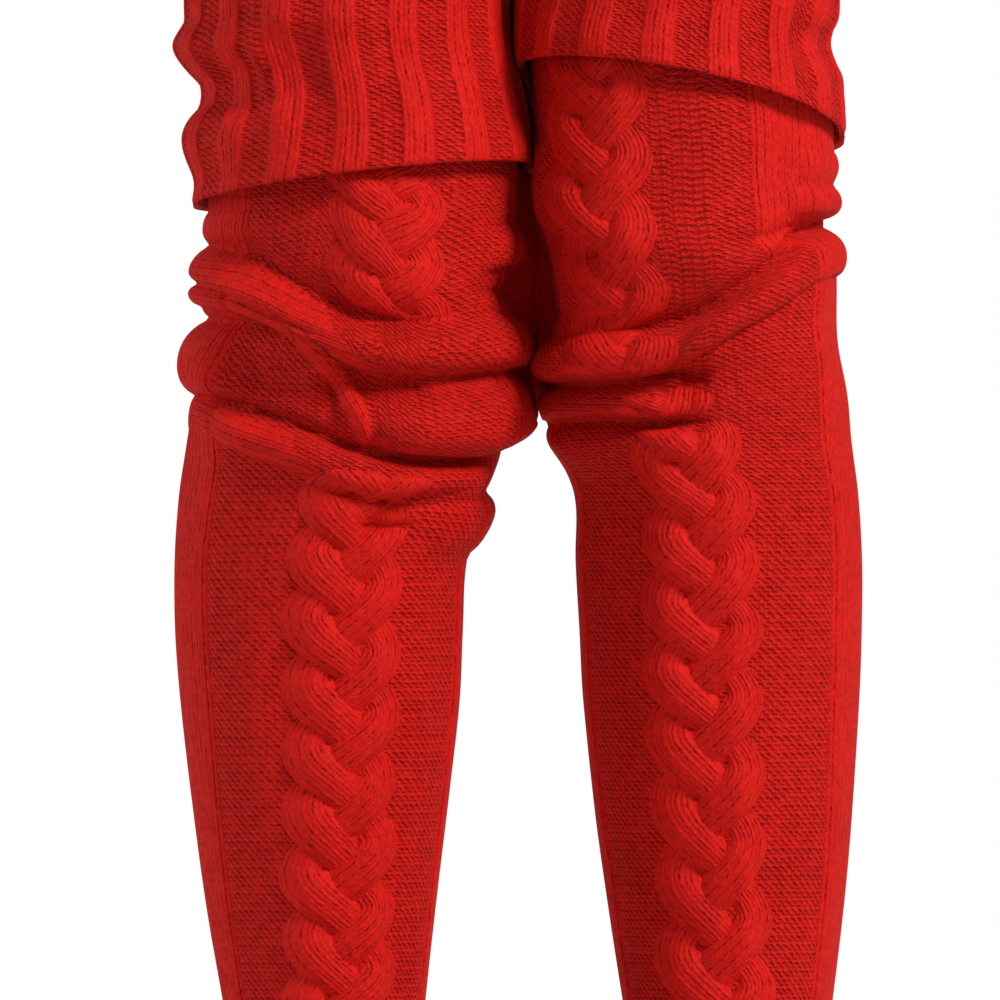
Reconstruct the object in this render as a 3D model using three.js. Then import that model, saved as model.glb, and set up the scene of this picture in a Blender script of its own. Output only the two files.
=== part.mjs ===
// A pair of over-the-knee boot socks in chunky cable knit, as worn: rib cuffs folded down, legs slouched in
// folds round the knees, heel, foot and toe filled out, and each sock hollow and open at the top.
// Millimetres, +Z up, the front of the socks faces -Y, and the wearer's right sock is at -X.
// The origin lies midway between the legs, at the height where the cuffs grip. Heights in the tables are
// measured up from the soles. Angles run round a sock from its front, positive towards +X.
import * as THREE from "three";

// Driving sizes
const HOLD_HEIGHT = 600; // from the soles up to the origin
const WALL = 3; // thickness of the knitted wall
const SEAM_GAP = 0.3; // between pieces that are joined in the real sock
const MIDLINE_GAP = 0.9; // between either leg and the midline where the two nearly meet
const CUFF_AIR = 3.3; // between the leg and the cuff folded down over it
const CUFF_OUTSIDE = CUFF_AIR + WALL; // from the leg to the outside of that cuff
const CUFF_FLARE = 3; // how much further out the cast-off edge stands at the front, over the cable
const FLARE_REACH = 40; // how far up the cuff the flare reaches
const CUFF_LIP = 12; // how far the cuff goes down inside the mouth
const CABLE_LIFT = 3; // how far the plaited cable stands off the leg
const CABLE_HALF_SPAN = 30; // degrees from the cable's middle to where it ends
const CABLE_FADE = 24; // height over which the cable sinks away under the cuff and above the ankle
const ANKLE_HEIGHT = 110; // where the leg ends and the heel piece starts
const TOE_IN = 0.12; // sideways drift of the foot for each millimetre forward
const AROUND = 24; // facets round a sock
const LEG_ROWS = 27; // rings down each face of a leg's wall
const DENSE_ROWS = 18; // of those, how many lie in the slouched part
const SLOUCH_BOTTOM = 384; // height under which a leg is smooth
const INSIDE_FOLLOWS = 0.7; // share of an outward fold that the inside of the wall follows

const DEGREES = Math.PI / 180;

const SECTION = "height centreX centreY halfWidth halfDepth";
const FOLD = "from to startHeight middleHeight endHeight bulge above below droop";

// The wearer's right sock
const RIGHT = {
  name: "right_sock",
  cuff: { top: 650, edge: 540, edgeSideways: 9, edgeForward: 5 },
  sections: table(SECTION, [
    [655, -83.5, 0, 66, 67],
    [612, -83.5, 0, 66.5, 66],
    [580, -78.5, 0, 67, 66],
    [553, -77, -2, 69.5, 65],
    [527, -77, -2, 69, 65],
    [500, -80, -3, 69, 65],
    [470, -78.5, -2, 70.5, 64],
    [445, -79, 0, 72, 63],
    [422, -84, 2, 70.5, 62],
    [400, -89.5, 4, 68.5, 61],
    [371, -95, 8, 65.5, 61],
    [340, -96, 11, 64.6, 61],
    [308, -95.6, 13, 62.6, 59],
    [263, -95.6, 15, 57.4, 55],
    [218, -95.2, 16, 51.5, 49],
    [174, -93.8, 15, 45.2, 44],
    [140, -92.5, 14, 41, 42],
    [110, -91, 12, 39.5, 41],
  ]),
  cable: table("height angle", [
    [660, 9], [545, 9], [525, 10], [500, 12.5], [475, 14], [450, 5], [430, 6], [412, 12], [371, 11], [110, 10],
  ]),
  folds: table(FOLD, [
    [-130, -30, 520, 519, 518, 2.4, 6, 5, 0],
    [-110, 24, 514, 506, 471, -4, 7, 5, 0],
    [-165, 30, 500, 497, 458, 8, 10, 10, 2],
    [-20, 150, 478, 467, 470, 8, 10, 10, 2],
    [-130, -15, 480, 478, 464, -4, 6, 6, 0],
    [-175, -30, 468, 463, 453, 8, 13, 14, 2],
    [-55, 5, 470, 452, 440, -4, 14, 9, 0],
    [-24, 140, 459, 454, 458, -5, 6, 6, 0],
    [-26, 14, 480, 452, 420, 4, 7, 7, 0],
    [0, 150, 438, 434, 442, 9, 14, 11, 4],
    [-100, 110, 447, 422, 428, -5, 6, 5, 0],
    [-110, 95, 446, 419, 408, 6, 7, 10, 1],
    [5, 65, 402, 399, 404, -3.5, 5, 5, 0],
    [30, 150, 389, 390, 396, 5.5, 9, 13, 1],
    [44, 130, 491, 491, 494, -4, 6, 7, 0],
    [46, 135, 508, 512, 512, 5.5, 8, 8, 2],
    [-10, 80, 496, 492, 496, 3, 30, 13, 0],
    [-130, -40, 582, 582, 582, -2.5, 9, 9, 0],
    [-60, -10, 592, 587, 582, -2.5, 17, 15, 0],
    [120, 230, 506, 500, 508, 6, 9, 9, 2],
    [110, 215, 474, 480, 470, 7, 10, 10, 3],
    [140, 245, 452, 446, 460, 6, 9, 10, 2],
    [110, 200, 420, 428, 424, 5, 9, 9, 2],
  ]),
  cuffFolds: table(FOLD, [
    [-140, -20, 604, 602, 600, 3.5, 12, 12, 0],
    [-150, -10, 562, 560, 560, 3.5, 12, 12, 0],
    [-130, -30, 581, 580, 580, -3.5, 9, 9, 0],
    [40, 150, 556, 556, 560, 2, 14, 12, 0],
    [130, 220, 592, 586, 592, 3, 12, 12, 0],
  ]),
};

// The wearer's left sock
const LEFT = {
  name: "left_sock",
  cuff: { top: 668, edge: 576, edgeSideways: -15, edgeForward: 14 },
  sections: table(SECTION, [
    [675, 65, 0, 66, 67],
    [612, 65, 0, 66.4, 66],
    [580, 67.5, 0, 67, 66],
    [553, 69, -2, 66.6, 65],
    [524, 69.5, -2, 65.6, 65],
    [500, 72.6, -3, 63.8, 65],
    [470, 71.5, -2, 65, 64],
    [445, 73, 0, 68, 63],
    [425, 76.5, 2, 66.6, 62],
    [400, 83, 4, 63.6, 61],
    [371, 84.2, 8, 64.2, 61],
    [340, 85, 11, 63.2, 61],
    [308, 85.3, 13, 61.9, 59],
    [263, 86.4, 15, 58, 55],
    [218, 87.8, 16, 52.7, 49],
    [174, 88.4, 15, 47, 44],
    [140, 88.5, 14, 42, 42],
    [110, 88.5, 12, 39.5, 41],
  ]),
  cable: table("height angle", [
    [680, -38], [600, -38], [500, -34], [462, -30], [450, -22], [434, -11], [415, -9], [110, -9],
  ]),
  folds: table(FOLD, [
    [-40, 125, 472, 505, 524, -5, 6, 5, 0],
    [-150, 25, 461, 461, 487, 7.5, 8, 11, 2],
    [-5, 165, 470, 508, 514, 7.5, 8, 11, 2],
    [-130, 20, 450, 450, 457, -6, 5, 4.5, 0],
    [-20, 6, 440, 444, 448, -2.5, 8, 10, 0],
    [-125, 14, 441, 442, 440, 4, 6, 6, 1.5],
    [-80, 12, 432, 433, 432, -4, 4.5, 4.5, 0],
    [-125, 10, 425, 422, 424, 2.5, 6, 9, 0],
    [40, 145, 547, 547, 547, 2, 6, 7, 0],
    [35, 145, 532, 532, 530, 4, 7, 7, 1],
    [-135, -55, 483, 482, 480, -4, 7, 7, 0],
    [-160, -40, 565, 547, 532, 3, 18, 18, 1],
    [-50, 30, 530, 515, 505, 2, 12, 12, 0],
    [-85, 50, 512, 506, 514, 5, 50, 22, 0],
    [-4, 70, 461, 460, 470, 3, 13, 20, 0],
    [35, 130, 603, 602, 604, -3, 9, 10, 0],
    [130, 240, 516, 508, 500, 6, 9, 10, 2],
    [120, 220, 478, 486, 474, 7, 10, 10, 3],
    [150, 250, 448, 458, 452, 6, 9, 10, 2],
    [110, 210, 436, 428, 440, 5, 9, 9, 2],
  ]),
  cuffFolds: table(FOLD, [
    [-60, -10, 606, 604, 606, 2, 10, 10, 0],
    [35, 130, 604, 602, 604, -2.5, 9, 9, 0],
    [140, 230, 606, 600, 606, 3, 12, 12, 0],
  ]),
};

// Where the legs nearly meet behind the knees
const MIDLINE = table("height x", [
  [680, -9], [612, -9.4], [596, -7.9], [584, -3.6], [556, 0.4], [533, -1.4], [513, 1.5], [493, -0.5], [468, 1.2],
  [459, -2], [445, 1.1], [434, 4.5],
]);

// From the ankle round the heel to the toe, each row is a ring that stands across the foot: where it crosses
// the instep, where it crosses the heel or the sole, and how wide it is. Y and height, front and back.
const FOOT = table("piece instepY instepZ soleY soleZ halfWidth", [
  ["heel", -29, ANKLE_HEIGHT, 53, ANKLE_HEIGHT, 39.5],
  ["heel", -31, 105, 56, 90, 39],
  ["heel", -34, 100, 60, 64, 38],
  ["heel", -38, 96, 61, 38, 36],
  ["heel", -43, 92, 55, 14, 34],
  ["heel", -49, 88, 39, 1, 34],
  ["foot", -56, 84, 14, 0, 35.5],
  ["foot", -70, 77, -18, 0, 38.5],
  ["foot", -90, 67, -60, 0, 42.5],
  ["foot", -112, 57, -98, 0, 45.5],
  ["toe", -136, 48, -130, 0, 46],
  ["toe", -157, 40, -155, 0, 43],
  ["toe", -176, 32, -176, 2, 34],
  ["toe", -187, 24, -187, 7, 21],
  ["toe", -190.6, 20, -190.6, 10.4, 11],
]);
const TOE_TIP = { y: -192, z: 15 };

// Rows of numbers as objects whose keys are the columns' names
function table(columns, rows) {
  const names = columns.split(" ");
  return rows.map((row) => Object.fromEntries(names.map((name, i) => [name, row[i]])));
}

function smooth(share) {
  const held = Math.min(Math.max(share, 0), 1);
  return held * held * (3 - 2 * held);
}

function mix(a, b, share) {
  return a + (b - a) * share;
}

// A column's value at a height, on a smooth curve through the rows, which run from the top down
function atHeight(rows, column, height) {
  const last = rows.length - 1;
  let i = 0;
  while (i < last - 1 && rows[i + 1].height > height) i += 1;
  const slopeAt = (k) => {
    const a = rows[Math.max(k - 1, 0)];
    const b = rows[Math.min(k + 1, last)];
    return (b[column] - a[column]) / (b.height - a.height);
  };
  const span = rows[i + 1].height - rows[i].height;
  const t = Math.min(Math.max((height - rows[i].height) / span, 0), 1);
  const [a, b] = [rows[i][column], rows[i + 1][column]];
  const [slopeA, slopeB] = [slopeAt(i) * span, slopeAt(i + 1) * span];
  return a + t * (slopeA + t * (3 * (b - a) - 2 * slopeA - slopeB + t * (2 * (a - b) + slopeA + slopeB)));
}

// How far the folds push the cloth out, and how far they let it droop, at one angle and height
function folded(folds, angle, height) {
  let out = 0;
  let droop = 0;
  for (const fold of folds) {
    const share = ((((angle - fold.from) % 360) + 360) % 360) / (fold.to - fold.from);
    if (share >= 1) continue;
    const fade = smooth(share / 0.3) * smooth((1 - share) / 0.3);
    const crest =
      fold.startHeight * (1 - share) * (1 - 2 * share) +
      fold.middleHeight * 4 * share * (1 - share) +
      fold.endHeight * share * (2 * share - 1);
    const off = height - crest;
    const hump = fade * Math.exp(-((off / (off > 0 ? fold.above : fold.below)) ** 2));
    out += fold.bulge * hump;
    droop += fold.droop * hump;
  }
  return { out, droop };
}

// The height of the cuff's cast-off edge at an angle
function edgeHeight(cuff, angle) {
  return cuff.edge + cuff.edgeSideways * Math.sin(angle * DEGREES) + cuff.edgeForward * Math.cos(angle * DEGREES);
}

// A point at an offset from the smooth leg, along the leg's outward direction
function offLeg(sock, angle, height, offset, droop) {
  const [centreX, centreY, halfWidth, halfDepth] = ["centreX", "centreY", "halfWidth", "halfDepth"].map((column) =>
    atHeight(sock.sections, column, height),
  );
  const [side, front] = [Math.sin(angle * DEGREES), Math.cos(angle * DEGREES)];
  const outward = new THREE.Vector2(side / halfWidth, -front / halfDepth).normalize();
  return new THREE.Vector3(
    centreX + halfWidth * side + outward.x * offset,
    centreY - halfDepth * front + outward.y * offset,
    height - droop,
  );
}

// A point pressed back where the other leg is in its way. It lies a little deeper than the outermost cloth.
function pressed(sock, height, point, depth) {
  const side = sock.name === RIGHT.name ? 1 : -1;
  const middle = atHeight(MIDLINE, "x", height);
  const reach = (point.x - middle) * side;
  point.x = middle + side * Math.min(reach, -MIDLINE_GAP - depth);
  return point;
}

// How deep the leg lies under the cuff
function depthUnderCuff(sock, angle, height) {
  return CUFF_OUTSIDE * smooth((height - edgeHeight(sock.cuff, angle) + 6) / 6);
}

// How far the plaited cable lifts the leg's outside
function cableLift(sock, angle, height) {
  const from = angle - atHeight(sock.cable, "angle", height);
  const across = 1 - smooth((Math.abs(((from + 540) % 360) - 180) / CABLE_HALF_SPAN) ** 2);
  const underCuff = smooth((edgeHeight(sock.cuff, angle) + CABLE_FADE - height) / CABLE_FADE);
  return CABLE_LIFT * across * underCuff * smooth((height - ANKLE_HEIGHT) / CABLE_FADE);
}

function ring(pointAt) {
  return Array.from({ length: AROUND }, (_, i) => pointAt((i * 360) / AROUND - 180));
}

// A closed mesh through rings of points. With no tips, the last ring joins the first, so the wall's section is
// a loop. With tips, a fan closes each end.
function loft(rings, tips) {
  const points = rings.flat();
  const faces = [];
  const count = rings.length;
  const bands = tips ? count - 1 : count;
  for (let k = 0; k < bands; k += 1) {
    for (let i = 0; i < AROUND; i += 1) {
      const [a, b] = [k * AROUND + i, k * AROUND + ((i + 1) % AROUND)];
      const [c, d] = [((k + 1) % count) * AROUND + i, ((k + 1) % count) * AROUND + ((i + 1) % AROUND)];
      faces.push(a, c, b, b, c, d);
    }
  }
  if (tips) {
    const [first, last] = [points.length, points.length + 1];
    points.push(tips[0], tips[1]);
    for (let i = 0; i < AROUND; i += 1) {
      const next = (i + 1) % AROUND;
      faces.push(first, i, next);
      faces.push(last, (count - 1) * AROUND + next, (count - 1) * AROUND + i);
    }
  }
  const geometry = new THREE.BufferGeometry();
  geometry.setAttribute("position", new THREE.Float32BufferAttribute(points.flatMap((p) => p.toArray()), 3));
  geometry.setIndex(faces);
  geometry.computeVertexNormals();
  return geometry;
}

// The leg: outside from top to ankle, then inside from ankle to top
function legGeometry(sock) {
  const top = sock.cuff.top - CUFF_LIP - SEAM_GAP;
  const bottom = ANKLE_HEIGHT + SEAM_GAP / 2;
  const heights = Array.from({ length: LEG_ROWS }, (_, i) =>
    i < DENSE_ROWS
      ? mix(top, SLOUCH_BOTTOM, i / DENSE_ROWS)
      : mix(SLOUCH_BOTTOM, bottom, (i - DENSE_ROWS) / (LEG_ROWS - 1 - DENSE_ROWS)),
  );
  const outside = heights.map((height) =>
    ring((angle) => {
      const { out, droop } = folded(sock.folds, angle, height);
      const point = offLeg(sock, angle, height, out + cableLift(sock, angle, height), droop);
      return pressed(sock, height, point, depthUnderCuff(sock, angle, height));
    }),
  );
  const inside = heights.map((height) =>
    ring((angle) => {
      const { out, droop } = folded(sock.folds, angle, height);
      const follow = out > 0 ? INSIDE_FOLLOWS : 1;
      const point = offLeg(sock, angle, height, out * follow - WALL, droop * follow);
      return pressed(sock, height, point, depthUnderCuff(sock, angle, height) + WALL);
    }),
  );
  return loft([...outside, ...inside.reverse()]);
}

// The cuff's section: up the outside from the cast-off edge, over the fold, down inside the mouth, and back.
// reach is the offset from the leg's outside, and up is a share of the way from the edge to just under the top.
const CUFF_SECTION = table("reach up belowTop flares", [
  [CUFF_OUTSIDE, 0, 5, 1],
  [CUFF_OUTSIDE, 0.2, 5, 1],
  [CUFF_OUTSIDE, 0.4, 5, 1],
  [CUFF_OUTSIDE, 0.6, 5, 1],
  [CUFF_OUTSIDE, 0.8, 5, 1],
  [CUFF_OUTSIDE, 1, 5, 1],
  [CUFF_OUTSIDE - 2, 1, 1.2, 0],
  [CUFF_OUTSIDE / 2 - WALL / 2, 1, 0, 0],
  [2 - WALL, 1, 1.2, 0],
  [-WALL, 1, 5, 0],
  [-WALL, 1, CUFF_LIP, 0],
  [0, 1, CUFF_LIP, 0],
  [0, 1, 6, 0],
  [CUFF_AIR / 2, 1, 4, 0],
  [CUFF_AIR, 1, 6, 0],
  [CUFF_AIR, 0.5, 6, 1],
  [CUFF_AIR, 0.2, 6, 1],
  [CUFF_AIR, 0, 6, 1],
]);

function cuffGeometry(sock) {
  const { cuff } = sock;
  const rings = CUFF_SECTION.map((row) =>
    ring((angle) => {
      const edge = edgeHeight(cuff, angle);
      const height = mix(edge, cuff.top - row.belowTop, row.up);
      const atFront = Math.max(Math.cos(angle * DEGREES), 0);
      const flare = CUFF_FLARE * atFront * Math.max(1 - (height - edge) / FLARE_REACH, 0) ** 2;
      const { out } = folded(sock.cuffFolds, angle, height);
      const point = offLeg(sock, angle, height, row.reach + row.flares * (flare + Math.max(out, 0)), 0);
      return pressed(sock, height, point, CUFF_OUTSIDE - row.reach);
    }),
  );
  return loft(rings.reverse());
}

// Rings of the foot, drawn in by a wall's thickness for the inside and moved along by a seam's gap
function footRing(sock, row, inset, shift) {
  const ankleX = atHeight(sock.sections, "centreX", ANKLE_HEIGHT);
  const turn = sock.name === LEFT.name ? -TOE_IN : TOE_IN;
  const spine = new THREE.Vector2(row.instepY - row.soleY, row.instepZ - row.soleZ);
  const halfDepth = spine.length() / 2 - inset;
  const up = spine.normalize();
  const ahead = new THREE.Vector2(-up.y, up.x);
  if (ahead.y > 0) ahead.negate();
  const middle = new THREE.Vector2(row.instepY + row.soleY, row.instepZ + row.soleZ).multiplyScalar(0.5);
  middle.addScaledVector(ahead, shift);
  return ring((angle) => {
    const front = Math.cos(angle * DEGREES);
    const y = middle.x + up.x * halfDepth * front;
    const z = middle.y + up.y * halfDepth * front;
    const drift = turn * Math.max(12 - y, 0);
    return new THREE.Vector3(ankleX + drift + (row.halfWidth - inset) * Math.sin(angle * DEGREES), y, z);
  });
}

// A tube between two of the foot's pieces: its own rows, then the first row of the next piece less the seam
function footTube(sock, piece, firstShift) {
  const own = FOOT.filter((row) => row.piece === piece);
  const next = FOOT[FOOT.indexOf(own.at(-1)) + 1];
  const wall = (inset) => [
    ...own.map((row, i) => footRing(sock, row, inset, i ? 0 : firstShift)),
    footRing(sock, next, inset, -SEAM_GAP / 2),
  ];
  return loft([...wall(0), ...wall(WALL).reverse()]);
}

function toeGeometry(sock) {
  const own = FOOT.filter((row) => row.piece === "toe");
  const wall = (inset) => own.map((row, i) => footRing(sock, row, inset, i ? inset / 2 : SEAM_GAP / 2));
  const outside = wall(0);
  const inside = wall(WALL).slice(0, -2);
  const turn = sock.name === LEFT.name ? -TOE_IN : TOE_IN;
  const tip = (inset) => {
    const y = TOE_TIP.y + inset;
    return new THREE.Vector3(atHeight(sock.sections, "centreX", ANKLE_HEIGHT) + turn * (12 - y), y, TOE_TIP.z);
  };
  return loft([...inside.reverse(), ...outside], [tip(3 * WALL), tip(0)]);
}

// Acrylic yarn, dull and bright red
function yarn(color) {
  return new THREE.MeshStandardMaterial({ color, roughness: 0.95, metalness: 0 });
}

function buildSock(sock) {
  const group = new THREE.Group();
  const add = (piece, geometry, material) => {
    const mesh = new THREE.Mesh(geometry, material);
    mesh.name = `${sock.name}_${piece}`;
    group.add(mesh);
  };
  add("cuff", cuffGeometry(sock), yarn("#c41e17"));
  add("leg", legGeometry(sock), yarn("#b81b16"));
  add("heel", footTube(sock, "heel", SEAM_GAP / 2), yarn("#b21a15"));
  add("foot", footTube(sock, "foot", SEAM_GAP / 2), yarn("#b81b16"));
  add("toe", toeGeometry(sock), yarn("#b21a15"));
  return group;
}

const pair = new THREE.Group();
pair.position.z = -HOLD_HEIGHT;
pair.add(buildSock(RIGHT), buildSock(LEFT));

export default pair;
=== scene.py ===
"""A pair of over-the-knee boot socks in chunky cable knit, as worn.

Each sock is a thin knitted shell: a leg with slouched folds round the knee, a three-strand plait standing
off its front panel, a broad rib cuff folded down over the top, and a plain foot. Tables are in millimetres.
Heights run up from the soles, and angles run round a sock from its front, positive towards +X.
"""

import math

import bmesh
import bpy
import numpy as np
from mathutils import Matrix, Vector


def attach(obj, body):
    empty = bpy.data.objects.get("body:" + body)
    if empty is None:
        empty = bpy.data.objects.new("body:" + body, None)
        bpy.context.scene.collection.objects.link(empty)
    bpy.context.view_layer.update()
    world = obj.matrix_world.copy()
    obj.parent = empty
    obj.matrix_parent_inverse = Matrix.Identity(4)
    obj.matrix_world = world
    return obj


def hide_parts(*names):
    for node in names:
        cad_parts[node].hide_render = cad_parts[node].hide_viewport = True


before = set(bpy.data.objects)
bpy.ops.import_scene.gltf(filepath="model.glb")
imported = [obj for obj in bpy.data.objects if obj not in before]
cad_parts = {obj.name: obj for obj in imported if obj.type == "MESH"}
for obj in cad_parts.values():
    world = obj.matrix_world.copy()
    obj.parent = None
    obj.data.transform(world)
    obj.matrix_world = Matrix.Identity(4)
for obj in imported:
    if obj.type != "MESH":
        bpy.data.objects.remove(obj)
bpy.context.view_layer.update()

bl_info = {
    "name": "Cable-knit boot socks",
    "version": (1, 0, 0),
    "blender": (4, 5, 0),
    "location": "3D View > Sidebar > Socks",
    "description": "Builds a worn pair of cable-knit boot socks and the stage they stand on",
    "category": "Object",
}

MM = 0.001
HOLD_HEIGHT = 600  # from the soles up to the origin
ANKLE_HEIGHT = 110  # where a leg ends and the foot starts
CUFF_LIP = 12  # how far the cuff goes down inside the mouth
CUFF_AIR = 3.3  # between the leg and the cuff folded down over it
CUFF_OUT = CUFF_AIR + 3  # from the leg to the outside of that cuff
SLOUCH_BOTTOM = 384  # height under which a leg is smooth
FOLD_FADE = 0.2  # share of a fold's length over which each end fades
INSIDE_FOLLOWS = 0.7  # share of an outward fold that the inside of the wall follows
OWN_ROWS = 0.45  # share of its own length that a column counts rows by, the rest being its neighbours' mean
OWN_PLACE = 0.15  # the same for the plait's place up the cloth
COLUMN_WIDTH = 3.9  # of a knit column that runs along a roll
ROW_HEIGHT = 3.4  # of a row on that roll
MM_A_DEGREE = 1.2  # the cloth's length in one degree round a leg
ROUND_ROLL = 1.35  # how many times longer the cloth is over the round of a roll
WALES_ROUND = 96  # knit columns round a leg
PANEL_WALES = 16.5  # knit columns from the middle of the front panel to its edge
RIBS = 16  # round a cuff
RIB_WALES = 6  # knit columns to a rib and the purl band after it
RIB_KNIT = 3  # of those, how many are knit
PLAIN_OFFSET = 200  # whole columns added where the cloth is knit all over
KNIT_MAP = "Knit"  # the map that counts columns across and rows up

SECTION = "height centre_x centre_y half_width half_depth"


def table(columns, rows):
    """Rows of numbers as one array for each named column."""
    return dict(zip(columns.split(), np.array(rows, float).T))


def fold(kind, path, bulge, above, below, droop=0.0, along=0.0):
    """A fold along (angle, height, share) points: how far out it stands, its reach up and down, and how far
    its crest hangs down. A share scales the fold there, and is 1 where it isn't given. A swell is soft, a
    roll is round with steep sides, and a crease is sharp. Over the share of its length called along, the knit
    columns run along the fold."""
    return {
        "kind": kind,
        "angles": np.array([point[0] for point in path], float),
        "heights": np.array([point[1] for point in path], float),
        "shares": np.array([point[2] if len(point) > 2 else 1 for point in path], float),
        "bulge": bulge,
        "above": above,
        "below": below,
        "droop": droop,
        "along": along,
    }


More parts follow.
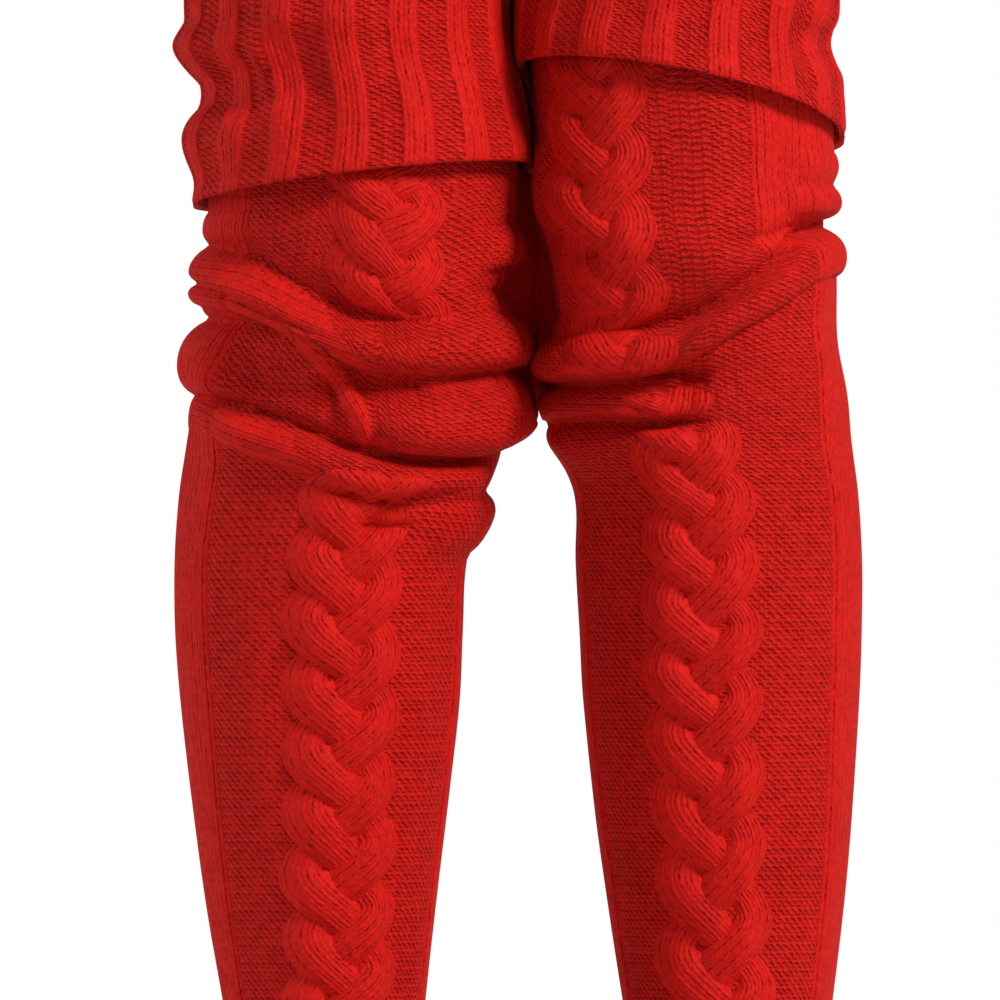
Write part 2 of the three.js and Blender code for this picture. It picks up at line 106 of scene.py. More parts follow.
# The wearer's right sock
RIGHT = {
    "name": "right_sock",
    "toe_turn": 0.12,
    "cuff": {"top": 650, "edge": 540, "sideways": 9, "forward": 5},
    "rib_angle": -4.5,
    "rib_lean": 0.05,
    "sections": table(SECTION, [
        [655, -83.5, 0, 66, 67],
        [612, -83.5, 0, 66.5, 66],
        [580, -78.5, 0, 67, 66],
        [553, -77, -2, 69.5, 65],
        [527, -77, -2, 69, 65],
        [500, -80, -3, 69, 65],
        [470, -78.5, -2, 70.5, 64],
        [445, -79, 0, 72, 63],
        [422, -84, 2, 70.5, 62],
        [400, -89.5, 4, 68.5, 61],
        [371, -95, 8, 65.5, 61],
        [340, -96, 11, 64.6, 61],
        [308, -95.6, 13, 62.6, 59],
        [263, -95.6, 15, 57.4, 55],
        [218, -95.2, 16, 51.5, 49],
        [174, -93.8, 15, 45.2, 44],
        [140, -92.5, 14, 41, 42],
        [110, -91, 12, 39.5, 41],
    ]),
    "panel": table("height low high", [
        [660, 17, 17], [560, 16, 16], [500, 13, 13], [470, 9, 9], [450, 3, 3], [430, 6, 6], [412, 12, 12],
        [371, 11, 11], [110, 10, 10],
    ]),
    "panel_line": table("angle height", [[-180, 450], [180, 450]]),
    "cable": table("height angle", [
        [660, 9], [545, 9], [525, 10], [500, 12.5], [475, 14], [450, 5], [430, 6], [412, 12], [371, 11],
        [110, 10],
    ]),
    "plait_ahead": table("height ahead", [
        [660, 30], [560, 20], [547, 17.5], [515, 11.5], [486, 7], [450, 3], [410, 0.7], [110, 0.7],
    ]),
    "plait_stands": table("height share", [
        [700, 0.85], [500, 0.85], [484, 0.8], [477, 0.05], [460, 0], [426, 0],
        [414, 0.15], [406, 0.8], [398, 1], [100, 1],
    ]),
    "folds": [
        fold("roll", [(-130, 520), (-90, 519), (-60, 519), (-30, 518)], 2.4, 8, 6),
        fold("swell", [(-75, 507, 0.4), (-44, 501), (-25, 492), (-5, 482), (12, 478), (40, 480, 0.3)], -6,
             24, 6),
        fold("crease", [(-125, 513, 0.7), (-87, 513, 0.7), (-62, 510), (-44, 506), (-31, 499), (-20, 491),
                        (-9, 485), (3, 478), (12, 473), (34, 478, 0.5), (54, 491, 0.3)], -4, 5, 2),
        fold("roll", [(-160, 500, 0.75), (-90, 498.5, 0.75), (-60, 496, 0.9), (-44, 493), (-31, 487),
                      (-20, 480), (-9, 474), (3, 468),
                      (14, 465), (24, 465), (61, 468), (100, 469), (150, 470)], 9.5, 13, 13, 3, 0.51),
        fold("crease", [(-130, 498), (-90, 498), (-66, 496, 0.8), (-45, 490, 0.6), (-31, 484, 0.6),
                        (-12, 474, 0.4), (4, 467, 0.4)], -7.5, 2.5, 2.5),
        fold("crease", [(-130, 480, 0.8), (-86, 479.5, 0.8), (-60, 478, 0.8), (-33, 474), (-21, 468),
                        (-15, 462)], -6.5, 3, 4),
        fold("roll", [(-175, 468), (-120, 464), (-85, 462.5), (-60, 460), (-38, 455)], 9.5, 17, 18, 2),
        fold("swell", [(-66, 462, 0.5), (-44, 456), (-25, 450), (-10, 442, 0.6), (6, 436, 0.3)], -6, 16, 9),
        fold("crease", [(-24, 461), (-9, 458), (3, 456.5), (16, 455.5), (28, 453), (61, 457), (110, 458),
                        (140, 458)],
             -8, 3.5, 4),
        fold("swell", [(-16, 450), (-6, 450), (6, 450), (16, 450), (30, 452)], -7, 5, 8),
        fold("roll", [(-26, 480, 0.4), (-11, 459), (-3, 446), (5, 433), (13, 420, 0.5)], 7, 9, 9, 0, 1.0),
        fold("roll", [(-6, 440, 0.5), (10, 437), (24, 434), (61, 432.5), (80, 437), (100, 441), (150, 441)],
             10.5, 19, 15, 6),
        fold("crease", [(-110, 446, 0.5), (-88, 446, 0.6), (-60, 443), (-36, 437), (-20, 431), (-5, 425),
                        (9, 420),
                        (32, 415.5), (52, 416), (64, 419), (80, 423, 0.6), (120, 426, 0.4)], -8, 4, 2.5),
        fold("roll", [(-140, 450, 0.15), (-85, 440, 0.2), (-60, 436, 0.6), (-42, 430), (-26, 424), (-12, 419),
                      (10, 411), (30, 407), (60, 407), (90, 408)], 7.5, 8, 10, 1.5, 0.55),
        fold("crease", [(12, 402, 0.5), (18, 400), (31, 399.5), (46, 402, 0.6), (60, 404, 0.5)], -6.5, 3, 3),
        fold("crease", [(10, 388, 0.5), (16, 386.5), (30, 386), (40, 387, 0.5)], -5, 2.5, 2.5),
        fold("crease", [(44, 491, 0.6), (60, 492), (90, 492), (130, 494)], -5, 5, 6),
        fold("roll", [(46, 508), (66, 512), (95, 513), (135, 512)], 6.5, 9, 10, 3),
        fold("crease", [(46, 403, 0.6), (70, 403), (100, 403), (150, 405)], -1, 3, 3),
        fold("roll", [(30, 390, 0.5), (60, 390), (90, 391), (150, 396)], 6.6, 10, 17, 1),
        fold("swell", [(-10, 496, 0.6), (15, 494), (40, 494), (80, 496, 0.5)], 4.5, 40, 14),
        fold("swell", [(-130, 582), (-88, 582), (-45, 582)], -2.5, 9, 9),
        fold("swell", [(-62, 592, 0.5), (-48, 588), (-34, 584, 0.8)], -2.6, 20, 18),
        fold("swell", [(-30, 590, 0.8), (-20, 586), (-10, 582, 0.6)], -2.4, 16, 14),
        fold("roll", [(115, 506), (175, 500), (235, 508)], 8, 13, 12, 3),
        fold("roll", [(108, 474), (162, 481), (222, 470)], 9, 13, 13, 4),
        fold("roll", [(140, 450), (192, 446), (250, 458)], 8, 12, 13, 3),
        fold("crease", [(115, 492), (170, 490), (230, 488)], -5, 5, 4),
        fold("crease", [(112, 458), (165, 464), (220, 457)], -5, 5, 4),
        fold("roll", [(105, 420), (155, 426), (205, 422)], 7, 12, 12, 2),
    ],
    "cuff_folds": [
        fold("swell", [(-150, 622), (-90, 621), (-25, 620)], -4, 9, 14),
        fold("swell", [(-140, 603), (-88, 602), (-45, 600), (-20, 598, 0.4)], 5.5, 9, 10),
        fold("swell", [(-140, 562), (-88, 561), (-50, 562), (-20, 564, 0.4)], 3.6, 11, 11),
        fold("swell", [(-130, 581), (-88, 580), (-40, 582), (-10, 584, 0.3)], -7, 8, 8),
        fold("swell", [(-130, 541), (-88, 541), (-40, 542)], -2, 7, 8),
        fold("swell", [(-64, 592, 0.5), (-48, 588), (-34, 584, 0.8)], -5.2, 20, 18),
        fold("swell", [(-34, 590, 0.8), (-22, 586), (-8, 582, 0.6)], -4.8, 14, 13),
        fold("swell", [(-38, 600, 0.6), (-30, 586), (-22, 572, 0.5)], 3, 20, 20),
        fold("swell", [(-30, 612), (-10, 611), (16, 612)], 2.5, 7, 7),
        fold("swell", [(8, 596), (26, 594), (46, 596)], -2.5, 10, 12),
        fold("swell", [(40, 556), (95, 556), (150, 560)], 2, 14, 12),
        fold("swell", [(130, 592), (175, 586), (220, 592)], 3, 12, 12),
    ],
}

# The wearer's left sock
LEFT = {
    "name": "left_sock",
    "toe_turn": -0.12,
    "cuff": {"top": 668, "edge": 576, "sideways": -15, "forward": 14},
    "rib_angle": -10.8,
    "rib_lean": 0.15,
    "sections": table(SECTION, [
        [675, 65, 0, 66, 67],
        [612, 65, 0, 66.4, 66],
        [580, 67.5, 0, 67, 66],
        [553, 69, -2, 66.6, 65],
        [524, 69.5, -2, 65.6, 65],
        [500, 72.6, -3, 63.8, 65],
        [470, 71.5, -2, 65, 64],
        [445, 73, 0, 68, 63],
        [425, 76.5, 2, 66.6, 62],
        [400, 83, 4, 63.6, 61],
        [371, 84.2, 8, 64.2, 61],
        [340, 85, 11, 63.2, 61],
        [308, 85.3, 13, 61.9, 59],
        [263, 86.4, 15, 58, 55],
        [218, 87.8, 16, 52.7, 49],
        [174, 88.4, 15, 47, 44],
        [140, 88.5, 14, 42, 42],
        [110, 88.5, 12, 39.5, 41],
    ]),
    "panel": table("height low high", [
        [680, -9, -38], [600, -9, -38], [500, -9, -36], [460, -9, -34], [110, -9, -34],
    ]),
    "panel_line": table("angle height", [
        [-180, 441], [-60, 441], [-30, 443], [-12, 452], [-4, 468], [4.5, 482], [12.5, 488], [20.7, 494],
        [27, 498.5], [36.5, 504.5], [50, 515], [70, 519], [125, 522], [180, 441],
    ]),
    "cable": table("height angle", [
        [680, -38], [600, -38], [500, -34], [462, -30], [450, -22], [434, -11], [415, -9], [110, -9],
    ]),
    "plait_ahead": table("height ahead", [
        [680, -5], [640, -1], [557, 4.5], [526, 6.7], [495, 10], [428, 17.3], [371, 19], [279, 25],
        [180, 38.4], [110, 47],
    ]),
    "plait_stands": table("height share", [
        [700, 0.75], [500, 0.8], [480, 0.7], [474, 0.55], [462, 0.6], [456, 0.4], [452, 0.2], [446, 0.3],
        [438, 0.4], [433, 0.3], [428, 0.8], [420, 1], [412, 1], [100, 1],
    ]),
    "folds": [
        fold("crease", [(-6, 513.5, 0.4), (12, 513.5, 0.7), (29, 515), (50, 520.5), (75, 523, 0.3),
                        (125, 525, 0.3)], -5, 3, 3),
        fold("crease", [(-40, 473, 0.4), (-7, 477), (4.5, 483), (12.5, 489), (20.7, 495), (27, 499.5),
                        (36.5, 505.5),
                        (50, 516), (70, 520, 0.85), (84, 521, 0.62), (125, 523, 0.62)], -9.5, 4, 2),
        fold("roll", [(-130, 460, 0.7), (-90, 461, 0.8), (-58, 462), (-30, 463), (-12, 467), (2, 474),
                      (17, 485),
                      (34, 496, 0.9), (50, 506, 0.7), (66, 510, 0.6), (100, 511, 0.56), (160, 514, 0.6)],
             9.5, 9, 12, 3),
        fold("crease", [(-130, 450), (-90, 450.5), (-60, 450.5), (-36, 452), (-19, 454), (-4, 455), (4, 455),
                        (16, 458, 0.4)], -9, 2.5, 3),
        fold("swell", [(-16, 448, 0.5), (-9, 446), (-4, 446), (2, 448, 0.5)], -4, 7, 10),
        fold("roll", [(-125, 441), (-70, 441), (-45, 442.5), (-16, 441.5), (-2, 440, 0.5), (14, 440, 0.3)],
             5.5, 7, 7, 2),
        fold("crease", [(-120, 430, 0.25), (-73, 432, 0.3), (-55, 432.5, 0.8), (-40, 433), (-17, 431.5),
                        (-5, 433.5), (12, 432, 0.5)], -7, 2.5, 3),
        fold("swell", [(-85, 424), (-60, 422), (-20, 424), (10, 424)], 3, 5, 9),
        fold("swell", [(-130, 425), (-90, 425), (-50, 424)], 3, 9, 9),
        fold("swell", [(35, 603), (82, 602), (130, 604)], -3.6, 9, 10),
        fold("roll", [(40, 547), (90, 547), (145, 547)], 2.2, 7, 8),
        fold("roll", [(35, 532), (60, 532), (90, 531.5), (145, 530)], 4.5, 8, 7, 1),
        fold("swell", [(40, 541, 0.4), (70, 541), (110, 541), (145, 541)], -1, 4, 4),
        fold("crease", [(-135, 483), (-90, 482), (-60, 480)], -4, 7, 7),
        fold("roll", [(-160, 565), (-95, 545), (-40, 532)], 3.5, 20, 20, 1),
        fold("swell", [(-60, 530), (-20, 516), (20, 505), (45, 512, 0.4)], 2.5, 14, 12),
        fold("swell", [(12, 547), (30, 545), (55, 544)], -2, 12, 12),
        fold("swell", [(-72, 520), (-50, 512), (-30, 502)], -2.5, 9, 9),
        fold("swell", [(-85, 512), (-50, 508), (-20, 506), (10, 508), (50, 516, 0.3)], 7, 70, 26),
        fold("swell", [(-4, 461, 0.5), (15, 459), (40, 462), (70, 470, 0.6)], 4.5, 14, 24),
        fold("swell", [(8, 460, 0.5), (22, 471), (38, 483), (54, 492), (76, 498, 0.4)], 3.5, 9, 13),
        fold("swell", [(-8, 453), (-1, 453), (6, 453)], -5, 4, 4),
        fold("roll", [(130, 516), (185, 508), (245, 500)], 8, 12, 13, 3),
        fold("roll", [(120, 480), (170, 487), (225, 474)], 9, 13, 13, 4),
        fold("roll", [(150, 448), (200, 458), (255, 452)], 8, 12, 13, 3),
        fold("crease", [(125, 496), (180, 498), (235, 486)], -5, 5, 4),
        fold("crease", [(120, 462), (185, 472), (240, 461)], -5, 5, 4),
        fold("roll", [(105, 436), (160, 428), (215, 438)], 7, 12, 12, 2),
    ],
    "cuff_folds": [
        fold("swell", [(35, 568, 0.5), (70, 570), (90, 571), (130, 572), (160, 572, 0.5)], -2.2, 16, 18),
        fold("swell", [(35, 603), (82, 602), (130, 604)], -7.5, 8, 9),
        fold("swell", [(-60, 606), (-35, 604), (-10, 606)], 2, 10, 10),
        fold("swell", [(-8, 612), (12, 610), (34, 612)], -2, 10, 12),
        fold("swell", [(140, 606), (185, 600), (230, 606)], 3, 12, 12),
    ],
}

SOCKS = (RIGHT, LEFT)

# Where the legs nearly meet behind the knees, from the top down
MIDLINE = table("height x", [
    [680, -9], [612, -9.4], [596, -7.9], [584, -3.6], [556, 0.4], [533, -1.4], [513, 1.5], [493, -0.5],
    [468, 1.2], [459, -2], [445, 1.1], [434, 4.5],
])
LOBE_REACH = 1.8  # how far each leg's inner side reaches past that
LOBES = (105, 121)  # angles where the right and the left leg do so, from the front
LOBE_WIDTH = 9.5  # degrees from a lobe's crest to where it is well down

# From the ankle round the heel to the toe, each row is a ring that stands across the foot: where it crosses
# the instep, where it crosses the heel or the sole, and how wide it is
FOOT = table("instep_y instep_z sole_y sole_z half_width", [
    [-29, 110, 53, 110, 39.5],
    [-31, 105, 56, 90, 39],
    [-34, 100, 60, 64, 38],
    [-38, 96, 61, 38, 36],
    [-43, 92, 55, 14, 34],
    [-49, 88, 39, 1, 34],
    [-56, 84, 14, 0, 35.5],
    [-70, 77, -18, 0, 38.5],
    [-90, 67, -60, 0, 42.5],
    [-112, 57, -98, 0, 45.5],
    [-136, 48, -130, 0, 46],
    [-157, 40, -155, 0, 43],
    [-176, 32, -176, 2, 34],
    [-187, 24, -187, 7, 21],
    [-190.6, 20, -190.6, 10.4, 11],
])
TOE_TIP_Y = -192
TOE_TIP_Z = 15


# Shapes


def smooth(share):
    """From 0 to 1 with level ends."""
    held = np.clip(share, 0, 1)
    return held * held * (3 - 2 * held)


def mix(a, b, share):
    return a + (b - a) * share


def curve(marks, values, at):
    """A smooth curve through values at rising marks, held level past its ends."""
    slopes = np.gradient(values, marks)
    slopes[1:-1] = (values[2:] - values[:-2]) / (marks[2:] - marks[:-2])
    i = np.clip(np.searchsorted(marks, at) - 1, 0, len(marks) - 2)
    span = marks[i + 1] - marks[i]
    t = np.clip((at - marks[i]) / span, 0, 1)
    a, b = values[i], values[i + 1]
    slope_a, slope_b = slopes[i] * span, slopes[i + 1] * span
    bend = 3 * (b - a) - 2 * slope_a - slope_b
    twist = 2 * (a - b) + slope_a + slope_b
    return a + t * (slope_a + t * (bend + t * twist))


def at_height(rows, column, height):
    """A column's value at a height, in a table whose rows run from the top down."""
    return curve(rows["height"][::-1], rows[column][::-1], height)


def fold_share(one, angle, height):
    """How near each point is to a fold's crest, from 0 to 1, with its height off the crest and its angle."""
    start, end = one["angles"][0], one["angles"][-1]
    turned = start + (angle - start) % 360
    share = (turned - start) / (end - start)
    fade = smooth(share / FOLD_FADE) * smooth((1 - share) / FOLD_FADE) * (share < 1)
    fade = fade * np.interp(turned, one["angles"], one["shares"])
    off = height - curve(one["angles"], one["heights"], turned)
    near = np.abs(off) / np.where(off > 0, one["above"], one["below"])
    if one["kind"] == "roll":
        profile = np.clip(1 - near**2, 0, 1) ** 0.7
    elif one["kind"] == "crease":
        profile = np.exp(-near)
    else:
        profile = np.exp(-(near**2))
    return fade * profile, off, turned


def folded(folds, angle, height):
    """How far the folds push the cloth out and let it droop, at angles and heights."""
    shape = np.broadcast(angle, height).shape
    out, rolled, droop = np.zeros(shape), np.zeros(shape), np.zeros(shape)
    for one in folds:
        share, _, _ = fold_share(one, angle, height)
        if one["kind"] == "roll":
            rolled = np.maximum(rolled, one["bulge"] * share)
            droop = np.maximum(droop, one["droop"] * share)
        else:
            out = out + one["bulge"] * share
    return out + rolled, droop


def ripple(seed, angle, height, size):
    """Slow uneven waves, so that no stretch of cloth is quite even."""
    source = np.random.default_rng(seed)
    total = 0.0
    for _ in range(9):
        around = source.integers(2, 11)
        rise = source.uniform(18, 60)
        phase = source.uniform(0, 2 * math.pi)
        total = total + np.sin(np.radians(angle) * around + height / rise * source.choice([-1, 1]) + phase)
    return total * size / 3


def leg_waves(sock, angle, height):
    """A leg's own slow waves, which its cuff follows."""
    return ripple(11 if sock is RIGHT else 23, angle, height, 0.45)


def edge_height(cuff, angle):
    """The height of a cuff's cast-off edge."""
    side, front = np.sin(np.radians(angle)), np.cos(np.radians(angle))
    return cuff["edge"] + cuff["sideways"] * side + cuff["forward"] * front


def off_leg(sock, angle, height, offset, droop=0.0):
    """Points at an offset from the smooth leg, along the leg's outward direction."""
    rows = sock["sections"]
    half_width = at_height(rows, "half_width", height)
    half_depth = at_height(rows, "half_depth", height)
    side, front = np.sin(np.radians(angle)), np.cos(np.radians(angle))
    out_x, out_y = side / half_width, -front / half_depth
    length = np.hypot(out_x, out_y)
    x = at_height(rows, "centre_x", height) + half_width * side + out_x / length * offset
    y = at_height(rows, "centre_y", height) - half_depth * front + out_y / length * offset
    return np.stack(np.broadcast_arrays(x, y, height - droop), axis=-1)


def meet_other(sock, angle, height, points, under, pulled=1.0):
    """Shapes the inner sides where the knees nearly meet. Each leg is pressed flat before the middle between
    them, and pulled past it in one lobe, behind or before the other leg's own lobe, so that no light shows
    between the two. under is how deep each point lies under the outermost cloth."""
    inner = 1 if sock is RIGHT else -1
    turned = (angle * inner + 180) % 360 - 180
    own, other = (np.exp(-(((turned - lobe) / LOBE_WIDTH) ** 2)) for lobe in LOBES[::inner])
    own = own * smooth((height - 434) / 12) * pulled
    middle = curve(MIDLINE["height"][::-1], MIDLINE["x"][::-1], height)
    reach = (points[..., 0] - middle) * inner
    reach = reach + own * np.maximum(LOBE_REACH - under - reach, 0)
    furthest = mix(-0.35 - other * (LOBE_REACH + 0.5), LOBE_REACH, smooth((own - 0.4) / 0.5)) - under
    points[..., 0] = middle + inner * np.minimum(reach, furthest)


def pattern_angle(sock, angle, height):
    """Where the middle of the front panel lies for the cloth at each angle and height. It shifts inside the
    crease along the panel's line, where the cloth has slid sideways."""
    around = (angle + 180) % 360 - 180
    line = curve(sock["panel_line"]["angle"], sock["panel_line"]["height"], around)
    low, high = at_height(sock["panel"], "low", height), at_height(sock["panel"], "high", height)
    return mix(low, high, 0.75 * smooth((height - line) / 5 + 0.5) + 0.25 * smooth((height - line) / 15))


def lengths_up(points):
    """Length along the cloth up each column from its last row."""
    steps = np.linalg.norm(np.diff(points, axis=0), axis=-1)
    return np.concatenate([np.cumsum(steps[::-1], axis=0)[::-1], np.zeros((1, points.shape[1]))])


class LegCloth:
    """The outside of a leg as a grid, and the places of points given by angle and length up the cloth."""

    AROUND = 256
    DENSE_STEP = 1.3
    SMOOTH_STEP = 3.2

    def __init__(self, sock, sizes):
        self.sock = sock
        top = sock["cuff"]["top"] - CUFF_LIP - 0.3
        dense = np.linspace(top, SLOUCH_BOTTOM, round((top - SLOUCH_BOTTOM) / self.DENSE_STEP),
                            endpoint=False)
        count = round((SLOUCH_BOTTOM - ANKLE_HEIGHT) / self.SMOOTH_STEP)
        self.heights = np.concatenate([dense, np.linspace(SLOUCH_BOTTOM, ANKLE_HEIGHT + 0.3, count)])
        self.angles = np.arange(self.AROUND + 1) * 360 / self.AROUND - 180
        angle, height = self.angles[None, :], self.heights[:, None]
        out, droop = folded(sock["folds"], angle, height)
        creases = [one for one in sock["folds"] if one["kind"] == "crease"]
        self.crease_share = np.clip(-folded(creases, angle, height)[0] / 5, 0, 1)
        self.wales = (angle - pattern_angle(sock, angle, height)) * WALES_ROUND / 360
        waves = leg_waves(sock, angle, height)
        self.folds_out, self.folds_droop = out, droop
        plain = off_leg(sock, angle, height, out + waves, droop)
        self.lengths = lengths_up(plain)
        side = smooth((np.abs(self.wales) - PANEL_WALES) / 0.8)
        groove = np.exp(-(((np.abs(self.wales) - PANEL_WALES) / 0.55) ** 2))
        relief = sizes.panel_recess / MM * side - sizes.groove_depth / MM * groove
        self.points = off_leg(sock, angle, height, out + waves + relief, droop)
        above_edge = height - edge_height(sock["cuff"], angle)
        self.under = CUFF_OUT * smooth((above_edge + 4.5) / 6)
        meet_other(sock, angle, height, self.points, self.under, 1 - smooth((above_edge - 3) / 12))
        self.waves = waves
        self.placing = mix(self._around_mean(self.lengths), self.lengths, OWN_PLACE)
        self._resample()

    def _resample(self):
        self.step = 1.0
        longest = self.placing[0].max()
        self.marks = np.arange(0, longest, self.step)
        columns, creased = [], []
        for i in range(self.AROUND):
            up = self.placing[::-1, i]
            columns.append(np.stack([np.interp(self.marks, up, self.points[::-1, i, k]) for k in range(3)],
                                    axis=-1))
            creased.append(np.interp(self.marks, up, self.crease_share[::-1, i]))
        self.even = np.stack(columns, axis=1)
        self.creased = np.stack(creased, axis=1)
        soft = self.even
        kernel = np.exp(-np.linspace(-2, 2, 13) ** 2)
        kernel /= kernel.sum()
        padded = np.pad(soft, ((6, 6), (0, 0), (0, 0)), mode="edge")
        soft = sum(weight * padded[i : i + len(soft)] for i, weight in enumerate(kernel))
        along = np.gradient(soft, axis=0)
        around = np.roll(soft, -2, axis=1) - np.roll(soft, 2, axis=1)
        normal = np.cross(around, along)
        self.normals = normal / np.linalg.norm(normal, axis=-1, keepdims=True)
        self.centre_column = np.interp(
            at_height(self.sock["cable"], "angle", self.heights), self.angles, np.arange(self.AROUND + 1)
        )

    def rows_up(self, sizes):
        """Knitted rows up each column. They are drawn out below the knee and relaxed above it."""
        row = mix(sizes.row_height, sizes.relaxed_row_height, smooth((self.heights - 385) / 45)) / MM
        steps = -np.diff(self.lengths, axis=0) / ((row[1:] + row[:-1]) / 2)[:, None]
        steps = mix(self._around_mean(steps), steps, OWN_ROWS)
        return np.concatenate([np.cumsum(steps[::-1], axis=0)[::-1], np.zeros((1, self.lengths.shape[1]))])

    def _around_mean(self, values):
        """Each value's mean over its neighbours round the leg."""
        offsets = np.arange(-40, 41)
        weights = np.exp(-((offsets / 20) ** 2))
        closed = values[:, :-1]
        shifted = [weight * np.roll(closed, offset, axis=1) for offset, weight in zip(offsets, weights)]
        mean = sum(shifted) / weights.sum()
        return np.concatenate([mean, mean[:, :1]], axis=1)

    def turned_knit(self):
        """The knit map where columns run along a roll, and where that is."""
        angle, height = self.angles[None, :], self.heights[:, None]
        knit = np.zeros(self.wales.shape + (2,))
        here = np.zeros(self.wales.shape, bool)
        for one in self.sock["folds"]:
            if one["along"]:
                share, off, turned = fold_share(one, angle, height)
                slope = np.gradient(curve(one["angles"], one["heights"], self.angles), self.angles)
                along = np.hypot(MM_A_DEGREE, slope)
                run = np.cumsum(along) * (self.angles[1] - self.angles[0])
                across = off * ROUND_ROLL / COLUMN_WIDTH * MM_A_DEGREE / along + 0.5 + PLAIN_OFFSET
                first, last = one["angles"][0], one["angles"][-1]
                there = (share > 0.3) & (turned < first + one["along"] * (last - first) - 0.8 * off)
                rows = np.broadcast_to(run / ROW_HEIGHT, across.shape)
                knit[there] = np.stack([across, rows], axis=-1)[there]
                here |= there
        return knit, here

    def height_at_middle(self, length):
        """The height of the plait's middle at a length up the cloth."""
        rows = np.arange(len(self.heights))
        columns = np.round(self.centre_column).astype(int) % self.AROUND
        up = np.maximum.accumulate(self.placing[rows, columns][::-1])
        return np.interp(length, up, self.heights[::-1])

    def _sampler(self, angle, length):
        """Reads a grid of even lengths at angles and lengths up the cloth."""
        column = (angle + 180) / 360 * self.AROUND
        row = np.clip(length / self.step, 0, len(self.marks) - 1.001)
        i, j = np.floor(column).astype(int), np.floor(row).astype(int)
        s, t = column - i, row - j
        a, b = i % self.AROUND, (i + 1) % self.AROUND

        def sample(grid):
            across, up = (s[..., None], t[..., None]) if grid.ndim == 3 else (s, t)
            return mix(mix(grid[j, a], grid[j, b], across), mix(grid[j + 1, a], grid[j + 1, b], across), up)

        return sample

    def place(self, angle, length, lift):
        """Points lifted off the cloth at angles and lengths up it."""
        sample = self._sampler(angle, length)
        return sample(self.even) + sample(self.normals) * lift[..., None]

    def crease_at(self, angle, length):
        """How deep the cloth lies in a crease, from 0 to 1."""
        return smooth(self._sampler(angle, length)(self.creased) * 1.6)


# Meshes


def grid_object(name, points, knit, material, closed_rows=False, wrapped=True, tip=None, turned=None):
    """A mesh through a grid of points in millimetres above the soles, with its knit map.

    A wrapped grid closes round its columns, and its map has one column more than its points. Closed rows join
    the last row to the first. A tip closes the last row with a fan.
    """
    rows, columns = points.shape[:2]
    next_column = (np.arange(columns) + 1) % columns if wrapped else np.arange(1, columns)
    bands = rows if closed_rows else rows - 1
    spans = columns if wrapped else columns - 1
    top = np.repeat(np.arange(bands), spans)
    bottom = (top + 1) % rows
    left = np.tile(np.arange(spans), bands)
    right = np.tile(next_column[:spans], bands)
    faces = np.stack([top * columns + left, bottom * columns + left, bottom * columns + right,
                      top * columns + right], 1)
    flat = np.stack([knit[top, left], knit[bottom, left], knit[bottom, left + 1], knit[top, left + 1]], 1)
    if turned is not None:
        other, here = turned
        whole = here[top, left] & here[bottom, left] & here[bottom, left + 1] & here[top, left + 1]
        across = np.stack([other[top, left], other[bottom, left], other[bottom, left + 1],
                           other[top, left + 1]], 1)
        flat[whole] = across[whole]
    corners = [faces.reshape(-1)]
    maps = [flat.reshape(-1, 2)]
    starts = [np.arange(len(faces)) * 4]
    vertices = points.reshape(-1, 3)
    if tip is not None:
        ring = (rows - 1) * columns + np.arange(columns)
        ring_next = (rows - 1) * columns + next_column
        fan = np.stack([ring, np.full(columns, len(vertices)), ring_next], 1)
        here, there = knit[-1, :columns], knit[-1, 1 : columns + 1]
        point = (here + there) / 2 + np.array([0, 1.0])
        starts.append(len(faces) * 4 + np.arange(columns) * 3)
        corners.append(fan.reshape(-1))
        maps.append(np.stack([here, point, there], 1).reshape(-1, 2))
        vertices = np.vstack([vertices, tip])
    vertices = (vertices - np.array([0, 0, HOLD_HEIGHT])) * MM
    corners, maps, starts = np.concatenate(corners), np.concatenate(maps), np.concatenate(starts)
    mesh = bpy.data.meshes.new(name)
    mesh.vertices.add(len(vertices))
    mesh.vertices.foreach_set("co", vertices.astype(np.float32).reshape(-1))
    mesh.loops.add(len(corners))
    mesh.loops.foreach_set("vertex_index", corners.astype(np.int32))
    mesh.polygons.add(len(starts))
    mesh.polygons.foreach_set("loop_start", starts.astype(np.int32))
    mesh.update(calc_edges=True)
    mesh.validate()
    mesh.polygons.foreach_set("use_smooth", np.ones(len(mesh.polygons), bool))
    layer = mesh.uv_layers.new(name=KNIT_MAP)
    layer.data.foreach_set("uv", maps.astype(np.float32).reshape(-1))
    mesh.materials.append(material)
    made = bpy.data.objects.new(name, mesh)
    bpy.context.scene.collection.objects.link(made)
    return made


def joined(name, pieces):
    """Several mesh objects as one."""
    bpy.ops.object.select_all(action="DESELECT")
    for piece in pieces:
        piece.select_set(True)
    bpy.context.view_layer.objects.active = pieces[0]
    bpy.ops.object.join()
    pieces[0].name = name
    pieces[0].data.name = name
    return pieces[0]


def fresh(name):
    """Removes an older object of this name, so that an operator can run again."""
    old = bpy.data.objects.get(name)
    if old:
        bpy.data.objects.remove(old)
    return name


